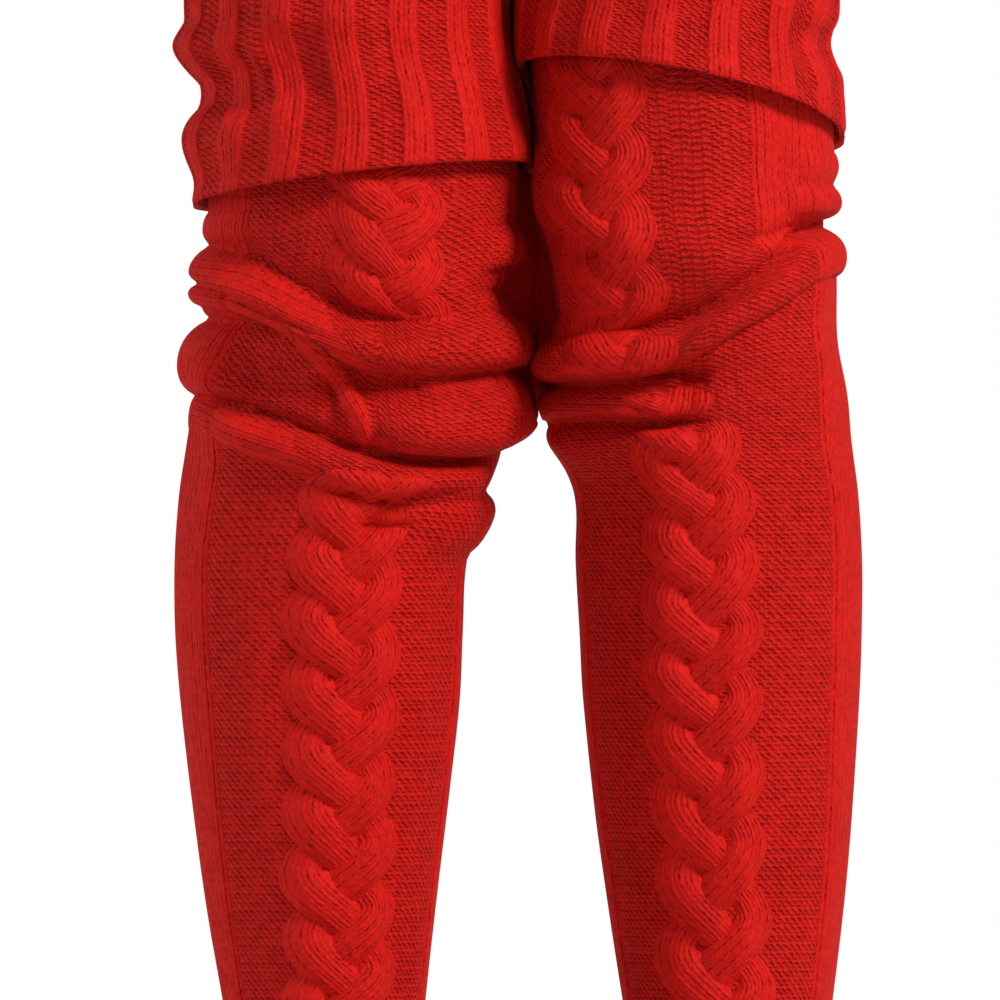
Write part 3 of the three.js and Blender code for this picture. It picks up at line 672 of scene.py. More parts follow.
def build_leg(sock, sizes, cloth):
    angles = cloth.angles[None, :]
    keep = np.unique(np.concatenate([np.arange(0, len(cloth.heights), 5), [len(cloth.heights) - 1]]))
    heights = cloth.heights[keep][:, None]
    out, droop = cloth.folds_out[keep], cloth.folds_droop[keep]
    follow = np.where(out > 0, INSIDE_FOLLOWS, 1)
    inside = off_leg(sock, angles, heights, out * follow + cloth.waves[keep] - sizes.wall / MM,
                     droop * follow)
    meet_other(sock, angles, heights, inside, cloth.under[keep] + sizes.wall / MM, 0)
    points = np.concatenate([cloth.points, inside[::-1]])[:, :-1]
    rows_up = cloth.rows_up(sizes)
    knit_outside = np.stack([cloth.wales, rows_up], axis=-1)
    knit_inside = np.stack([cloth.wales[keep], rows_up[keep]], axis=-1)[::-1]
    knit = np.concatenate([knit_outside, knit_inside])
    turned, is_turned = cloth.turned_knit()
    turned = np.concatenate([turned, knit_inside])
    is_turned = np.concatenate([is_turned, np.zeros(knit_inside.shape[:2], bool)])
    return grid_object(
        fresh(f"{sock['name']}_leg_knit"), points, knit, bpy.data.materials["Cable knit"],
        closed_rows=True, turned=(turned, is_turned)
    )


def build_plait(sock, sizes, cloth):
    """Three strands that cross over and under each other up the front of a leg."""
    period = sizes.plait_period / MM
    half, crown = sizes.strand_width / MM / 2, sizes.strand_crown / MM
    tuck = 1.5
    across = np.linspace(-1, 1, 21)[None, :]
    dome = 1 - np.abs(across) ** 2.8
    columns = 0.35 * np.abs(np.sin(across * 2.5 * math.pi)) * (1 - across**4)
    cable_top = at_height(sock["cable"], "angle", sock["cuff"]["edge"])
    top = edge_height(sock["cuff"], cable_top) + 24
    middle_heights = cloth.height_at_middle(cloth.marks)
    length_top = np.interp(top, middle_heights, cloth.marks)
    length = np.linspace(6, length_top, round(length_top / 1.05))[:, None]
    ahead = at_height(sock["plait_ahead"], "ahead", cloth.height_at_middle(length))
    source = np.random.default_rng(5 if sock is RIGHT else 9)
    strands = []
    for strand in range(3):
        start, tone = source.uniform(0, 2 * math.pi, 2)
        uneven = np.sin(length / 23 + start) + 0.7 * np.sin(length / 11.3 + tone)
        swing = sizes.plait_swing / MM * (1 + 0.05 * uneven)
        phase = 2 * math.pi * ((length + ahead) / period + strand / 3) + 0.06 * np.sin(length / 31 + tone)
        sideways = swing * (np.sin(phase) - 0.04 * np.sin(3 * phase)) + 1
        lean = np.gradient(sideways[:, 0], length[:, 0])[:, None]
        square = 0.8 / np.hypot(1, lean)
        across_u, across_v = mix(1, square / 0.8, 0.8), -lean * square
        wide = half * (1 + 0.05 * np.sin(length / 17 + start) - 0.12 * np.sin(phase))
        u = sideways + across * wide * across_u
        v = length + across * wide * across_v
        height = cloth.height_at_middle(v)
        radius = sum(at_height(sock["sections"], key, height) for key in ("half_width", "half_depth")) / 2
        angle = at_height(sock["cable"], "angle", height) + np.degrees(u / radius)
        under_cuff = smooth((edge_height(sock["cuff"], angle) + 4 - height) / 14)
        stands = mix(0.35, 1, under_cuff) * smooth((v - 6) / 26)
        stands = stands * at_height(sock["plait_stands"], "share", height)
        stands = stands * (1 - 0.6 * cloth.crease_at(angle, v))
        lift = sizes.plait_rise / MM + sizes.plait_weave / MM * np.sin(2 * phase)
        lift = lift + (crown * (1 + 0.07 * uneven) + tuck) * dome - tuck + columns
        lift = lift * (1 - np.where(u > 0, 0.7, 0.5) * smooth((np.abs(u) - 0.75 * swing) / (1.2 * half)))
        points = cloth.place(angle, np.maximum(v, 0), lift * stands - 2.2 * np.clip(1 - 2 * stands, 0, 1))
        run = np.cumsum(np.hypot(1, lean[:, 0])) * (length[1, 0] - length[0, 0])
        wales = np.broadcast_to(across * 2.5 + 0.5 + PLAIN_OFFSET, angle.shape)
        rows_up = np.broadcast_to(run[:, None] / (sizes.strand_row_height / MM), angle.shape)
        knit = np.stack([wales, rows_up], axis=-1)
        strands.append(
            grid_object(f"strand {strand}", points[::-1], knit[::-1], bpy.data.materials["Cable knit"],
                        wrapped=False)
        )
    return joined(fresh(f"{sock['name']}_plait_knit"), strands)


# A cuff's section, from the cast-off edge up the outside, over the fold, down inside the mouth and back up
# under it. reach is the offset from the leg's outside, rise is 0 at the edge and 1 just under the top, and
# below is the distance under the top where rise is 1. rows is how many rows of mesh lead to the next line.
CUFF_SECTION = table("reach rise below flares ribs rows", [
    [CUFF_AIR + 1.2, 0, 6, 1, 0, 1],
    [CUFF_OUT + 0.2, -0.012, 6, 1, 0.15, 2],
    [CUFF_OUT + 0.9, 0.02, 6, 1, 0.4, 3],
    [CUFF_OUT, 0.07, 6, 1, 1, 48],
    [CUFF_OUT, 1, 7, 1, 1, 4],
    [CUFF_OUT - 1.4, 1, 1.9, 0, 0.9, 3],
    [CUFF_OUT / 2 - 1.5, 1, 0, 0, 0.6, 3],
    [-1.4, 1, 1.9, 0, 0.3, 3],
    [-3, 1, 6, 0, 0.15, 4],
    [-3, 1, CUFF_LIP, 0, 0, 1],
    [0, 1, CUFF_LIP, 0, 0, 3],
    [0, 1, 6, 0, 0, 3],
    [CUFF_AIR / 2, 1, 4, 0, 0, 3],
    [CUFF_AIR, 1, 6, 0, 0, 10],
    [CUFF_AIR, 0.2, 6, 1, 0, 4],
    [CUFF_AIR, 0.02, 6, 1, 0, 2],
])


def build_cuff(sock, sizes):
    cuff, columns = sock["cuff"], RIBS * 21
    angle = (np.arange(columns + 1) * 360 / columns - 180)[None, :]
    count = len(CUFF_SECTION["rows"])
    lines = {}
    for key in ("reach", "rise", "below", "flares", "ribs"):
        values = CUFF_SECTION[key]
        pieces = []
        for i in range(count):
            share = np.arange(CUFF_SECTION["rows"][i]) / CUFF_SECTION["rows"][i]
            pieces.append(mix(values[i], values[(i + 1) % count], share))
        lines[key] = np.concatenate(pieces)[:, None]
    edge = edge_height(cuff, angle)
    height = mix(edge, cuff["top"] - lines["below"], lines["rise"])
    front = np.maximum(np.cos(np.radians(angle)), 0)
    flare = sizes.cuff_flare / MM * front * np.clip(1 - (height - edge) / 40, 0, 1.1) ** 2
    out, _ = folded(sock["cuff_folds"], angle, height)
    waves = ripple(41 if sock is RIGHT else 57, angle, height, 0.5)
    rib_angle = sock["rib_angle"] + sock["rib_lean"] * (height - cuff["edge"]) + 1.2 * np.sin(height / 17)
    wales = (angle - rib_angle) * RIBS * RIB_WALES / 360 + RIB_KNIT / 2
    across = np.abs((wales % RIB_WALES) - RIB_KNIT / 2)
    across = np.minimum(across, RIB_WALES - across)
    ribs = smooth((RIB_KNIT / 2 + 0.55 - across) / 1.1)
    rib_out = sizes.rib_height / MM * ribs * lines["ribs"]
    leg_out = folded(sock["folds"], angle, height)[0] + leg_waves(sock, angle, height)
    moves = np.maximum(out + waves, leg_out - CUFF_AIR + 1.3) * lines["flares"]
    points = off_leg(sock, angle, height, lines["reach"] + lines["flares"] * flare + moves + rib_out)
    meet_other(sock, angle, height, points, np.maximum(CUFF_OUT - lines["reach"], 0), lines["flares"])
    steps = np.linalg.norm(np.diff(points, axis=0), axis=-1)
    run = np.concatenate([np.zeros((1, columns + 1)), np.cumsum(steps, axis=0)])
    knit = np.stack([wales, run / (sizes.cuff_row_height / MM)], axis=-1)
    return grid_object(
        fresh(f"{sock['name']}_cuff_knit"), points[::-1, :-1], knit[::-1], bpy.data.materials["Rib knit"],
        closed_rows=True
    )


def foot_rings(sock, steps, angle, inset):
    """Rings across the foot at steps along its table, drawn in by an inset."""
    marks = np.arange(len(FOOT["half_width"]), dtype=float)
    columns = {key: curve(marks, values, steps) for key, values in FOOT.items()}
    spine = np.stack([columns["instep_y"] - columns["sole_y"], columns["instep_z"] - columns["sole_z"]],
                     axis=-1)
    length = np.linalg.norm(spine, axis=-1, keepdims=True)
    up = spine / length
    middle_y = (columns["instep_y"] + columns["sole_y"]) / 2
    middle_z = (columns["instep_z"] + columns["sole_z"]) / 2
    half_depth = length[:, 0] / 2 - inset
    front, side = np.cos(np.radians(angle)), np.sin(np.radians(angle))
    y = middle_y[:, None] + up[:, :1] * half_depth[:, None] * front
    z = middle_z[:, None] + up[:, 1:] * half_depth[:, None] * front
    ankle_x = at_height(sock["sections"], "centre_x", np.array(float(ANKLE_HEIGHT)))
    x = ankle_x + sock["toe_turn"] * np.maximum(12 - y, 0)
    x = x + (columns["half_width"] - inset)[:, None] * side
    return np.stack([x, y, z], axis=-1)


def build_foot(sock, sizes):
    angle = (np.arange(121) * 3 - 180.0)[None, :]
    last = len(FOOT["half_width"]) - 1
    outside_steps = np.linspace(0, last, 120)
    inside_steps = np.linspace(0, last - 0.4, 40)[::-1]
    waves = ripple(71 if sock is RIGHT else 83, angle, outside_steps[:, None] * 14, 0.35)
    outside = foot_rings(sock, outside_steps, angle, 0)
    centre = outside[:, :-1].mean(axis=1, keepdims=True)
    outward = outside - centre
    outward /= np.linalg.norm(outward, axis=-1, keepdims=True)
    seams = sum(np.exp(-(((outside_steps - mark) / 0.09) ** 2)) for mark in (6, 10))
    creases = foot_creases(angle, outside_steps[:, None])
    free = smooth(outside_steps / 0.8)[:, None]
    outside = outside + outward * ((waves + creases) * free + 0.5 * seams[:, None])[..., None]
    outside[..., 2] = np.maximum(outside[..., 2], 0)
    inside = foot_rings(sock, inside_steps, angle, sizes.wall / MM)
    tip_x = at_height(sock["sections"], "centre_x", np.array(float(ANKLE_HEIGHT)))
    tips = []
    for inset in (0, 3 * sizes.wall / MM):
        y = TOE_TIP_Y + inset
        tips.append([float(tip_x) + sock["toe_turn"] * (12 - y), y, TOE_TIP_Z])
    steps = np.linalg.norm(np.diff(outside, axis=0), axis=-1).mean(axis=1)
    run = np.concatenate([[0], np.cumsum(steps)])
    wales = angle * 78 / 360 + PLAIN_OFFSET + 0 * outside[..., 0]
    half_width = curve(np.arange(last + 1.0), FOOT["half_width"], outside_steps)[:, None]
    straight = np.sin(np.radians(angle)) * half_width / 4 + PLAIN_OFFSET + 100.5
    wales = np.where(outside_steps[:, None] > 10.05, straight, wales)
    rows_up = -run[:, None] / (sizes.foot_row_height / MM) + 0 * wales
    knit = np.stack([wales, rows_up], axis=-1)
    material = bpy.data.materials["Plain knit"]
    skin = grid_object("foot skin", outside[:, :-1], knit, material, tip=tips[0])
    inner_run = np.interp(inside_steps, outside_steps, run)[:, None]
    inner_wales = angle * 78 / 360 + PLAIN_OFFSET + 0 * inside[..., 0]
    inner_knit = np.stack([inner_wales, -inner_run / (sizes.foot_row_height / MM) + 0 * inner_wales], axis=-1)
    lining = grid_object("foot lining", inside[::-1, :-1], inner_knit[::-1], material, tip=tips[1])
    lining.data.flip_normals()
    rim_rows = np.stack([inside[-1], outside[0]])[:, :-1]
    rim = grid_object("foot rim", rim_rows, np.stack([inner_knit[-1], knit[0]]), material)
    made = joined(fresh(f"{sock['name']}_foot_knit"), [skin, lining, rim])
    shell = bmesh.new()
    shell.from_mesh(made.data)
    bmesh.ops.remove_doubles(shell, verts=shell.verts, dist=0.01 * MM)
    shell.to_mesh(made.data)
    shell.free()
    return made


def foot_creases(angle, step):
    """Shallow creases where the instep bends into the ankle."""
    total = 0.0
    for mark, width, deep in ((1.3, 0.32, -1.2), (2.1, 0.3, 0.9), (2.9, 0.34, -1.4), (3.8, 0.4, 0.8)):
        near = np.exp(-(((step - mark - 0.25 * np.sin(np.radians(angle * 2))) / width) ** 2))
        total = total + deep * near * smooth((75 - np.abs(angle)) / 45)
    return total


# Node graphs


class Graph:
    """Adds nodes to a tree and joins them."""

    def __init__(self, tree):
        self.tree = tree
        self.column = 0

    def node(self, kind, inputs=None, **settings):
        made = self.tree.nodes.new(kind)
        made.location = (self.column * 40, -(self.column % 6) * 160)
        self.column += 1
        for key, value in settings.items():
            setattr(made, key, value)
        for key, value in (inputs or {}).items():
            self.feed(made.inputs[key], value)
        return made

    def feed(self, socket, value):
        if isinstance(value, bpy.types.NodeSocket):
            self.tree.links.new(value, socket)
        else:
            socket.default_value = value

    def math(self, operation, *values):
        made = self.node("ShaderNodeMath", operation=operation)
        for socket, value in zip(made.inputs, values):
            self.feed(socket, value)
        return made.outputs[0]

    def ramp(self, value, low, high):
        """From 0 at low to 1 at high, with soft ends."""
        made = self.node("ShaderNodeMapRange", {"Value": value, "From Min": low, "From Max": high})
        made.interpolation_type = "SMOOTHSTEP"
        return made.outputs["Result"]

    def blend(self, share, a, b):
        made = self.node("ShaderNodeMix", data_type="RGBA")
        self.feed(made.inputs["Factor"], share)
        self.feed(made.inputs[6], a)
        self.feed(made.inputs[7], b)
        return made.outputs[2]

    def pick(self, share, a, b):
        """A number between a and b."""
        made = self.node("ShaderNodeMix", data_type="FLOAT")
        self.feed(made.inputs[0], share)
        self.feed(made.inputs[2], a)
        self.feed(made.inputs[3], b)
        return made.outputs[0]


def new_group(name, inputs, outputs):
    old = bpy.data.node_groups.get(name)
    if old:
        bpy.data.node_groups.remove(old)
    tree = bpy.data.node_groups.new(name, "ShaderNodeTree")
    for socket in inputs:
        tree.interface.new_socket(name=socket, in_out="INPUT", socket_type="NodeSocketFloat")
    for socket in outputs:
        tree.interface.new_socket(name=socket, in_out="OUTPUT", socket_type="NodeSocketFloat")
    graph = Graph(tree)
    start = graph.node("NodeGroupInput")
    end = graph.node("NodeGroupOutput")
    return graph, start, end


def knit_group():
    """Knit stitches: two plump legs to a stitch, with short sunken strokes between them, where shade is
    painted in.
    """
    graph, start, end = new_group("Knit stitches", ["Column", "Row", "Uneven"], ["Height", "Out of shade"])
    inside = graph.math("FRACT", start.outputs["Column"])
    edge = graph.math("ABSOLUTE", graph.math("MULTIPLY_ADD", inside, 2.0, -1.0))
    across = graph.math("ABSOLUTE", graph.math("MULTIPLY_ADD", edge, 2.0, -1.0))
    leaning = graph.math("FRACT", graph.math("SUBTRACT", start.outputs["Row"],
                                             graph.math("MULTIPLY", edge, 0.55)))
    along = graph.math("POWER", graph.math("ABSOLUTE", graph.math("MULTIPLY_ADD", leaning, 2.0, -1.0)), 2.5)
    stroke = graph.math("MULTIPLY", graph.math("POWER", across, 1.7),
                        graph.math("MULTIPLY_ADD", edge, 0.42, 0.5))
    broken = graph.math("MULTIPLY", stroke, graph.math("MULTIPLY_ADD", along, -0.8, 1.0))
    broken = graph.math("MULTIPLY", broken, graph.math("MULTIPLY_ADD", start.outputs["Uneven"], 0.65, 0.35))
    height = graph.math("SUBTRACT", graph.math("SUBTRACT", 1.0, broken), graph.math("MULTIPLY", along, 0.2))
    graph.feed(end.inputs["Height"], height)
    # Out of shade is 0 deep in a stroke and 1 on a stitch's top; the material paints shade into the strokes
    # by it.
    graph.feed(end.inputs["Out of shade"], graph.ramp(height, 0.05, 0.85))


def purl_group():
    """Purl bumps: bars that leave short sunken dashes between them, half a stitch along in every other row,
    with shade painted into the dashes.
    """
    graph, start, end = new_group("Purl stitches", ["Column", "Row", "Uneven"], ["Height", "Out of shade"])
    dashes = []
    for shift, arch, weight in ((0.0, 0.16, 1.0), (0.5, -0.12, 0.8)):
        column = graph.math("FRACT", graph.math("ADD", start.outputs["Column"], shift))
        edge = graph.math("ABSOLUTE", graph.math("MULTIPLY_ADD", column, 2.0, -1.0))
        bend = graph.math("MULTIPLY_ADD", graph.math("MULTIPLY", edge, edge), arch,
                          graph.math("MULTIPLY", column, 0.3))
        row = graph.math("FRACT", graph.math("ADD", graph.math("ADD", start.outputs["Row"], shift), bend))
        off = graph.math("DIVIDE", graph.math("ABSOLUTE", graph.math("SUBTRACT", row, 0.5)), 0.2)
        dash = graph.math("MAXIMUM", graph.math("SUBTRACT", 1.0, graph.math("MULTIPLY", off, off)), 0.0)
        ends = graph.math("MULTIPLY_ADD", graph.math("POWER", edge, 2.6), -weight, weight)
        dashes.append(graph.math("MULTIPLY", dash, ends))
    weight = graph.math("MULTIPLY_ADD", start.outputs["Uneven"], 0.4, 0.75)
    dash = graph.math("MULTIPLY", graph.math("MAXIMUM", dashes[0], dashes[1]), weight)
    height = graph.math("SUBTRACT", 1.0, dash)
    graph.feed(end.inputs["Height"], height)
    # Out of shade is 0 deep in a dash and 1 on a bar; the material paints shade into the dashes by it.
    graph.feed(end.inputs["Out of shade"], graph.ramp(height, -0.12, 0.8))


def fibre_group():
    """The yarn's own fuzz, and slow changes of tone over the cloth."""
    graph, _, end = new_group("Yarn fibre", [], ["Fuzz", "Tone", "Uneven"])
    place = graph.node("ShaderNodeTexCoord").outputs["Object"]
    fuzz = graph.node("ShaderNodeTexNoise",
                      {"Vector": place, "Scale": 1500.0, "Detail": 3.0, "Roughness": 0.65})
    clumps = graph.node("ShaderNodeTexNoise",
                        {"Vector": place, "Scale": 420.0, "Detail": 2.0, "Roughness": 0.6})
    slow = graph.node("ShaderNodeTexNoise", {"Vector": place, "Scale": 38.0, "Detail": 2.0, "Roughness": 0.5})
    graph.feed(end.inputs["Fuzz"], graph.pick(0.45, fuzz.outputs[0], clumps.outputs[0]))
    graph.feed(end.inputs["Tone"], graph.pick(0.75, slow.outputs[0], clumps.outputs[0]))
    loose = graph.node("ShaderNodeTexNoise",
                       {"Vector": place, "Scale": 190.0, "Detail": 1.0, "Roughness": 0.5})
    graph.feed(end.inputs["Uneven"], graph.ramp(loose.outputs[0], 0.3, 0.7))


def yarn_material(name, look, kind):
    """Yarn knitted as a cable panel, as ribs or plain, with shade painted into the gaps between stitches."""
    material = bpy.data.materials.get(name) or bpy.data.materials.new(name)
    material.use_nodes = True
    tree = material.node_tree
    tree.nodes.clear()
    graph = Graph(tree)
    counted = graph.node("ShaderNodeUVMap", uv_map=KNIT_MAP)
    split = graph.node("ShaderNodeSeparateXYZ", {"Vector": counted.outputs["UV"]})
    fibre = graph.node("ShaderNodeGroup", node_tree=bpy.data.node_groups["Yarn fibre"])
    wander = graph.math("MULTIPLY_ADD", fibre.outputs["Tone"], look.stitch_wander, -look.stitch_wander / 2)
    column = graph.math("ADD", split.outputs["X"], wander)
    row = graph.math("ADD", split.outputs["Y"], wander)
    stitches = {"Column": column, "Row": row, "Uneven": fibre.outputs["Uneven"]}
    knit = graph.node("ShaderNodeGroup", node_tree=bpy.data.node_groups["Knit stitches"])
    for key, value in stitches.items():
        graph.feed(knit.inputs[key], value)
    height, out_of_shade = knit.outputs["Height"], knit.outputs["Out of shade"]
    if kind != "plain":
        purl = graph.node("ShaderNodeGroup", node_tree=bpy.data.node_groups["Purl stitches"])
        for key, value in stitches.items():
            graph.feed(purl.inputs[key], value)
        if kind == "cable":
            from_middle = graph.math("ABSOLUTE", split.outputs["X"])
            is_purl = graph.math("LESS_THAN", from_middle, PANEL_WALES)
        else:
            in_rib = graph.math("FLOORED_MODULO", split.outputs["X"], float(RIB_WALES))
            is_purl = graph.math("GREATER_THAN", in_rib, float(RIB_KNIT))
        height = graph.pick(is_purl, height, purl.outputs["Height"])
        out_of_shade = graph.pick(is_purl, out_of_shade, purl.outputs["Out of shade"])
    yarn_tone = graph.blend(graph.ramp(fibre.outputs["Tone"], 0.3, 0.7), tuple(look.yarn_deep),
                      tuple(look.yarn_colour))
    # Painted shade: where a stitch dips into a gap, its colour goes to the dark gap colour, in place of the
    # shade that falls there.
    colour = graph.blend(out_of_shade, tuple(look.gap_shade_colour), yarn_tone)
    relief = graph.math("ADD", height, graph.math("MULTIPLY", fibre.outputs["Fuzz"], look.fuzz))
    bump = graph.node("ShaderNodeBump", {"Height": relief})
    bump.inputs["Strength"].default_value = 1.0
    bump.inputs["Distance"].default_value = look.stitch_relief
    surface = graph.node("ShaderNodeBsdfPrincipled")
    surface.inputs["Specular IOR Level"].default_value = 0.12
    surface.inputs["Sheen Weight"].default_value = look.sheen
    surface.inputs["Sheen Roughness"].default_value = 0.45
    surface.inputs["Sheen Tint"].default_value = (1.0, 0.05, 0.035, 1.0)
    graph.feed(surface.inputs["Base Color"], colour)
    graph.feed(surface.inputs["Roughness"], graph.pick(out_of_shade, 1.0, 0.68))
    graph.feed(surface.inputs["Normal"], bump.outputs["Normal"])
    graph.feed(graph.node("ShaderNodeOutputMaterial").inputs["Surface"], surface.outputs["BSDF"])
    return material


# What a user can change


class SockSizes(bpy.types.PropertyGroup):
    """Sizes of the knitted cloth."""

    wall: bpy.props.FloatProperty(name="Wall", description="Thickness of the cloth", default=0.003,
                                  unit="LENGTH")
    row_height: bpy.props.FloatProperty(
        name="Leg row height", description="Height of a knitted row on a leg", default=0.00395, unit="LENGTH"
    )
    relaxed_row_height: bpy.props.FloatProperty(
        name="Relaxed row height", description="Height of a row where a leg is slack", default=0.0031,
        unit="LENGTH"
    )
    cuff_row_height: bpy.props.FloatProperty(
        name="Cuff row height", description="Height of a knitted row on a cuff", default=0.003, unit="LENGTH"
    )
    foot_row_height: bpy.props.FloatProperty(
        name="Foot row height", description="Height of a knitted row on a foot", default=0.0032, unit="LENGTH"
    )
    strand_row_height: bpy.props.FloatProperty(
        name="Strand row height", description="Height of a row along a plait's strand", default=0.0043,
        unit="LENGTH"
    )
    panel_recess: bpy.props.FloatProperty(
        name="Panel recess", description="How far the front panel lies under the sides", default=0.0006,
        unit="LENGTH"
    )
    groove_depth: bpy.props.FloatProperty(
        name="Groove depth", description="Depth of the line along a panel's edge", default=0.0011,
        unit="LENGTH"
    )
    plait_swing: bpy.props.FloatProperty(
        name="Plait swing", description="How far a strand's middle swings to each side", default=0.0166,
        unit="LENGTH"
    )
    plait_period: bpy.props.FloatProperty(
        name="Plait period", description="Length in which a strand crosses over and back", default=0.0866,
        unit="LENGTH"
    )
    plait_weave: bpy.props.FloatProperty(
        name="Plait weave", description="How far a strand rises and dips as it crosses", default=0.0019,
        unit="LENGTH"
    )
    plait_rise: bpy.props.FloatProperty(
        name="Plait rise", description="How far the strands stand off the panel", default=0.0006,
        unit="LENGTH"
    )
    strand_width: bpy.props.FloatProperty(
        name="Strand width", description="Width of one strand", default=0.0212, unit="LENGTH"
    )
    strand_crown: bpy.props.FloatProperty(
        name="Strand crown", description="Height of a strand's rounded back", default=0.0026, unit="LENGTH"
    )
    rib_height: bpy.props.FloatProperty(
        name="Rib height", description="How far the cuff's ribs stand up", default=0.0017, unit="LENGTH"
    )
    cuff_flare: bpy.props.FloatProperty(
        name="Cuff flare", description="How far a cuff's edge stands out over the plait", default=0.0036,
        unit="LENGTH"
    )


class YarnLook(bpy.types.PropertyGroup):
    """Colour and feel of the yarn, and the shade painted into the gaps between its stitches."""

    yarn_colour: bpy.props.FloatVectorProperty(
        name="Yarn", description="Colour of the yarn", default=(0.7, 0.0095, 0.0055, 1.0), size=4,
        subtype="COLOR"
    )
    yarn_deep: bpy.props.FloatVectorProperty(
        name="Deeper yarn", description="Colour of its deeper clumps", default=(0.52, 0.006, 0.0035, 1.0),
        size=4,
        subtype="COLOR",
    )
    # Painted shade: the dark colour that the gaps between stitches are painted, in place of the shade in
    # them.
    gap_shade_colour: bpy.props.FloatVectorProperty(
        name="Gaps", description="Colour between stitches", default=(0.3, 0.0015, 0.0008, 1.0), size=4,
        subtype="COLOR"
    )
    stitch_relief: bpy.props.FloatProperty(
        name="Stitch relief", description="Height of a stitch", default=0.0011, unit="LENGTH"
    )
    stitch_wander: bpy.props.FloatProperty(
        name="Stitch wander", description="How unevenly the stitches lie, as a share of a stitch",
        default=0.45
    )
    fuzz: bpy.props.FloatProperty(name="Fuzz", description="Fuzz as a share of the stitch relief",
                                  default=0.3)
    sheen: bpy.props.FloatProperty(name="Sheen", description="Soft light along the cloth's edges",
                                   default=0.3)


class StudioStage(bpy.types.PropertyGroup):
    """Floor, light and camera."""

    floor_colour: bpy.props.FloatVectorProperty(
        name="Floor", description="Colour of the floor", default=(0.82, 0.82, 0.82, 1.0), size=4,
        subtype="COLOR"
    )
    floor_radius: bpy.props.FloatProperty(name="Floor radius", description="Radius", default=1.6,
                                          unit="LENGTH")
    key_power: bpy.props.FloatProperty(name="Key light", description="Power", default=104.0, unit="POWER")
    fill_power: bpy.props.FloatProperty(name="Fill light", description="Power", default=22.0, unit="POWER")
    ambient: bpy.props.FloatProperty(name="Ambient", description="Light from all round", default=0.3)
    camera_distance: bpy.props.FloatProperty(
        name="Camera distance", description="From the socks", default=5.0, unit="LENGTH"
    )
    framed_width: bpy.props.FloatProperty(
        name="Framed width", description="Width that the camera takes in", default=0.45, unit="LENGTH"
    )


# Operators


def finish_cloth(made, sock, nodes):
    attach(made, "root")
    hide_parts(*[f"{sock['name']}_{node}" for node in nodes])


class SOCKS_OT_yarn(bpy.types.Operator):
    """Makes the yarn's materials"""

    bl_idname = "socks.yarn"
    bl_label = "Make yarn"

    def execute(self, context):
        knit_group()
        purl_group()
        fibre_group()
        look = context.scene.yarn_look
        for name, kind in (("Cable knit", "cable"), ("Rib knit", "rib"), ("Plain knit", "plain")):
            yarn_material(name, look, kind)
        return {"FINISHED"}


class SOCKS_OT_legs(bpy.types.Operator):
    """Builds both legs, slouched round the knees, with their plaits"""

    bl_idname = "socks.legs"
    bl_label = "Build legs and plaits"

    def execute(self, context):
        sizes = context.scene.sock_sizes
        for sock in SOCKS:
            cloth = LegCloth(sock, sizes)
            leg = build_leg(sock, sizes, cloth)
            finish_cloth(leg, sock, ["leg"])
            plait = build_plait(sock, sizes, cloth)
            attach(plait, "root")
        return {"FINISHED"}


class SOCKS_OT_cuffs(bpy.types.Operator):
    """Builds both rib cuffs, folded down"""

    bl_idname = "socks.cuffs"
    bl_label = "Build cuffs"

    def execute(self, context):
        sizes = context.scene.sock_sizes
        for sock in SOCKS:
            made = build_cuff(sock, sizes)
            finish_cloth(made, sock, ["cuff"])
        return {"FINISHED"}


class SOCKS_OT_feet(bpy.types.Operator):
    """Builds both feet: heel, foot and toe"""

    bl_idname = "socks.feet"
    bl_label = "Build feet"

    def execute(self, context):
        sizes = context.scene.sock_sizes
        for sock in SOCKS:
            made = build_foot(sock, sizes)
            finish_cloth(made, sock, ["heel", "foot", "toe"])
        return {"FINISHED"}


def area_light(name, power, size, place, aim):
    light = bpy.data.lights.new(name, "AREA")
    light.energy = power
    light.size = size
    made = bpy.data.objects.new(name, light)
    made.location = place
    made.rotation_euler = (Vector(aim) - Vector(place)).to_track_quat("-Z", "Y").to_euler()
    bpy.context.scene.collection.objects.link(made)
    return made


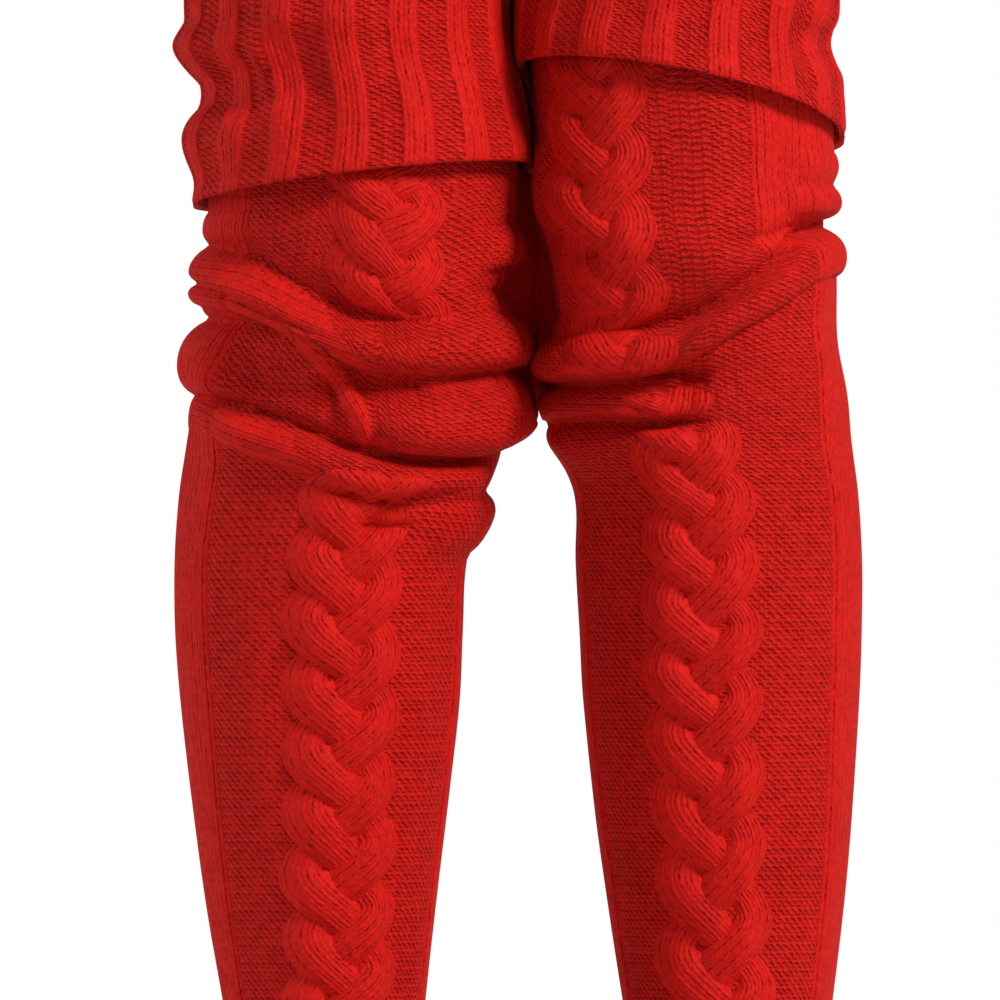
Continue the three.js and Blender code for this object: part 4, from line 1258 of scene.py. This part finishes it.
class SOCKS_OT_stage(bpy.types.Operator):
    """Sets the floor, the light and the camera"""

    bl_idname = "socks.stage"
    bl_label = "Set stage"

    def execute(self, context):
        scene, look = context.scene, context.scene.studio_stage
        bpy.ops.mesh.primitive_circle_add(
            vertices=96, radius=look.floor_radius, fill_type="NGON", location=(0, 0, -HOLD_HEIGHT * MM)
        )
        floor = context.active_object
        floor.name = "Floor"
        material = bpy.data.materials.new("Floor")
        material.use_nodes = True
        surface = material.node_tree.nodes["Principled BSDF"]
        surface.inputs["Base Color"].default_value = tuple(look.floor_colour)
        surface.inputs["Roughness"].default_value = 0.9
        floor.data.materials.append(material)
        aim = (0, 0, -0.15)
        area_light("Key light", look.key_power, 0.9, (1.95, -1.75, 1.9), aim)
        area_light("Fill light", look.fill_power, 1.2, (-2.45, 0.1, 0.7), aim)
        world = bpy.data.worlds.new("Studio")
        world.use_nodes = True
        world.node_tree.nodes.clear()
        graph = Graph(world.node_tree)
        seen = graph.node("ShaderNodeBackground", {"Color": (1.0, 1.0, 1.0, 1.0), "Strength": 1.0})
        felt = graph.node("ShaderNodeBackground", {"Color": (1.0, 1.0, 1.0, 1.0), "Strength": look.ambient})
        path = graph.node("ShaderNodeLightPath")
        both = graph.node("ShaderNodeMixShader", {0: path.outputs["Is Camera Ray"]})
        graph.feed(both.inputs[1], felt.outputs[0])
        graph.feed(both.inputs[2], seen.outputs[0])
        graph.feed(graph.node("ShaderNodeOutputWorld").inputs["Surface"], both.outputs[0])
        scene.world = world
        scene.view_settings.view_transform = "Standard"
        lens = bpy.data.cameras.new("Camera")
        camera = bpy.data.objects.new("Camera", lens)
        scene.collection.objects.link(camera)
        camera.location = (-0.0144, -look.camera_distance, -0.202)
        camera.rotation_euler = (math.pi / 2, 0, 0)
        lens.lens = lens.sensor_width * look.camera_distance / look.framed_width
        lens.dof.use_dof = False
        scene.camera = camera
        return {"FINISHED"}


class SOCKS_PT_panel(bpy.types.Panel):
    """Lists what builds the socks"""

    bl_label = "Boot socks"
    bl_idname = "SOCKS_PT_panel"
    bl_space_type = "VIEW_3D"
    bl_region_type = "UI"
    bl_category = "Socks"

    def draw(self, context):
        for operator in OPERATORS:
            self.layout.operator(operator.bl_idname)
        for group in (context.scene.sock_sizes, context.scene.yarn_look, context.scene.studio_stage):
            box = self.layout.box()
            for key in group.__annotations__:
                box.prop(group, key)


OPERATORS = (SOCKS_OT_yarn, SOCKS_OT_legs, SOCKS_OT_cuffs, SOCKS_OT_feet, SOCKS_OT_stage)
GROUPS = {"sock_sizes": SockSizes, "yarn_look": YarnLook, "studio_stage": StudioStage}


def register():
    for group in GROUPS.values():
        bpy.utils.register_class(group)
    for key, group in GROUPS.items():
        setattr(bpy.types.Scene, key, bpy.props.PointerProperty(type=group))
    for operator in OPERATORS:
        bpy.utils.register_class(operator)
    bpy.utils.register_class(SOCKS_PT_panel)


def unregister():
    bpy.utils.unregister_class(SOCKS_PT_panel)
    for operator in reversed(OPERATORS):
        bpy.utils.unregister_class(operator)
    for key, group in GROUPS.items():
        delattr(bpy.types.Scene, key)
        bpy.utils.unregister_class(group)


def main():
    register()
    bpy.ops.socks.yarn()
    bpy.ops.socks.legs()
    bpy.ops.socks.cuffs()
    bpy.ops.socks.feet()
    bpy.ops.socks.stage()


if __name__ == "__main__":
    main()
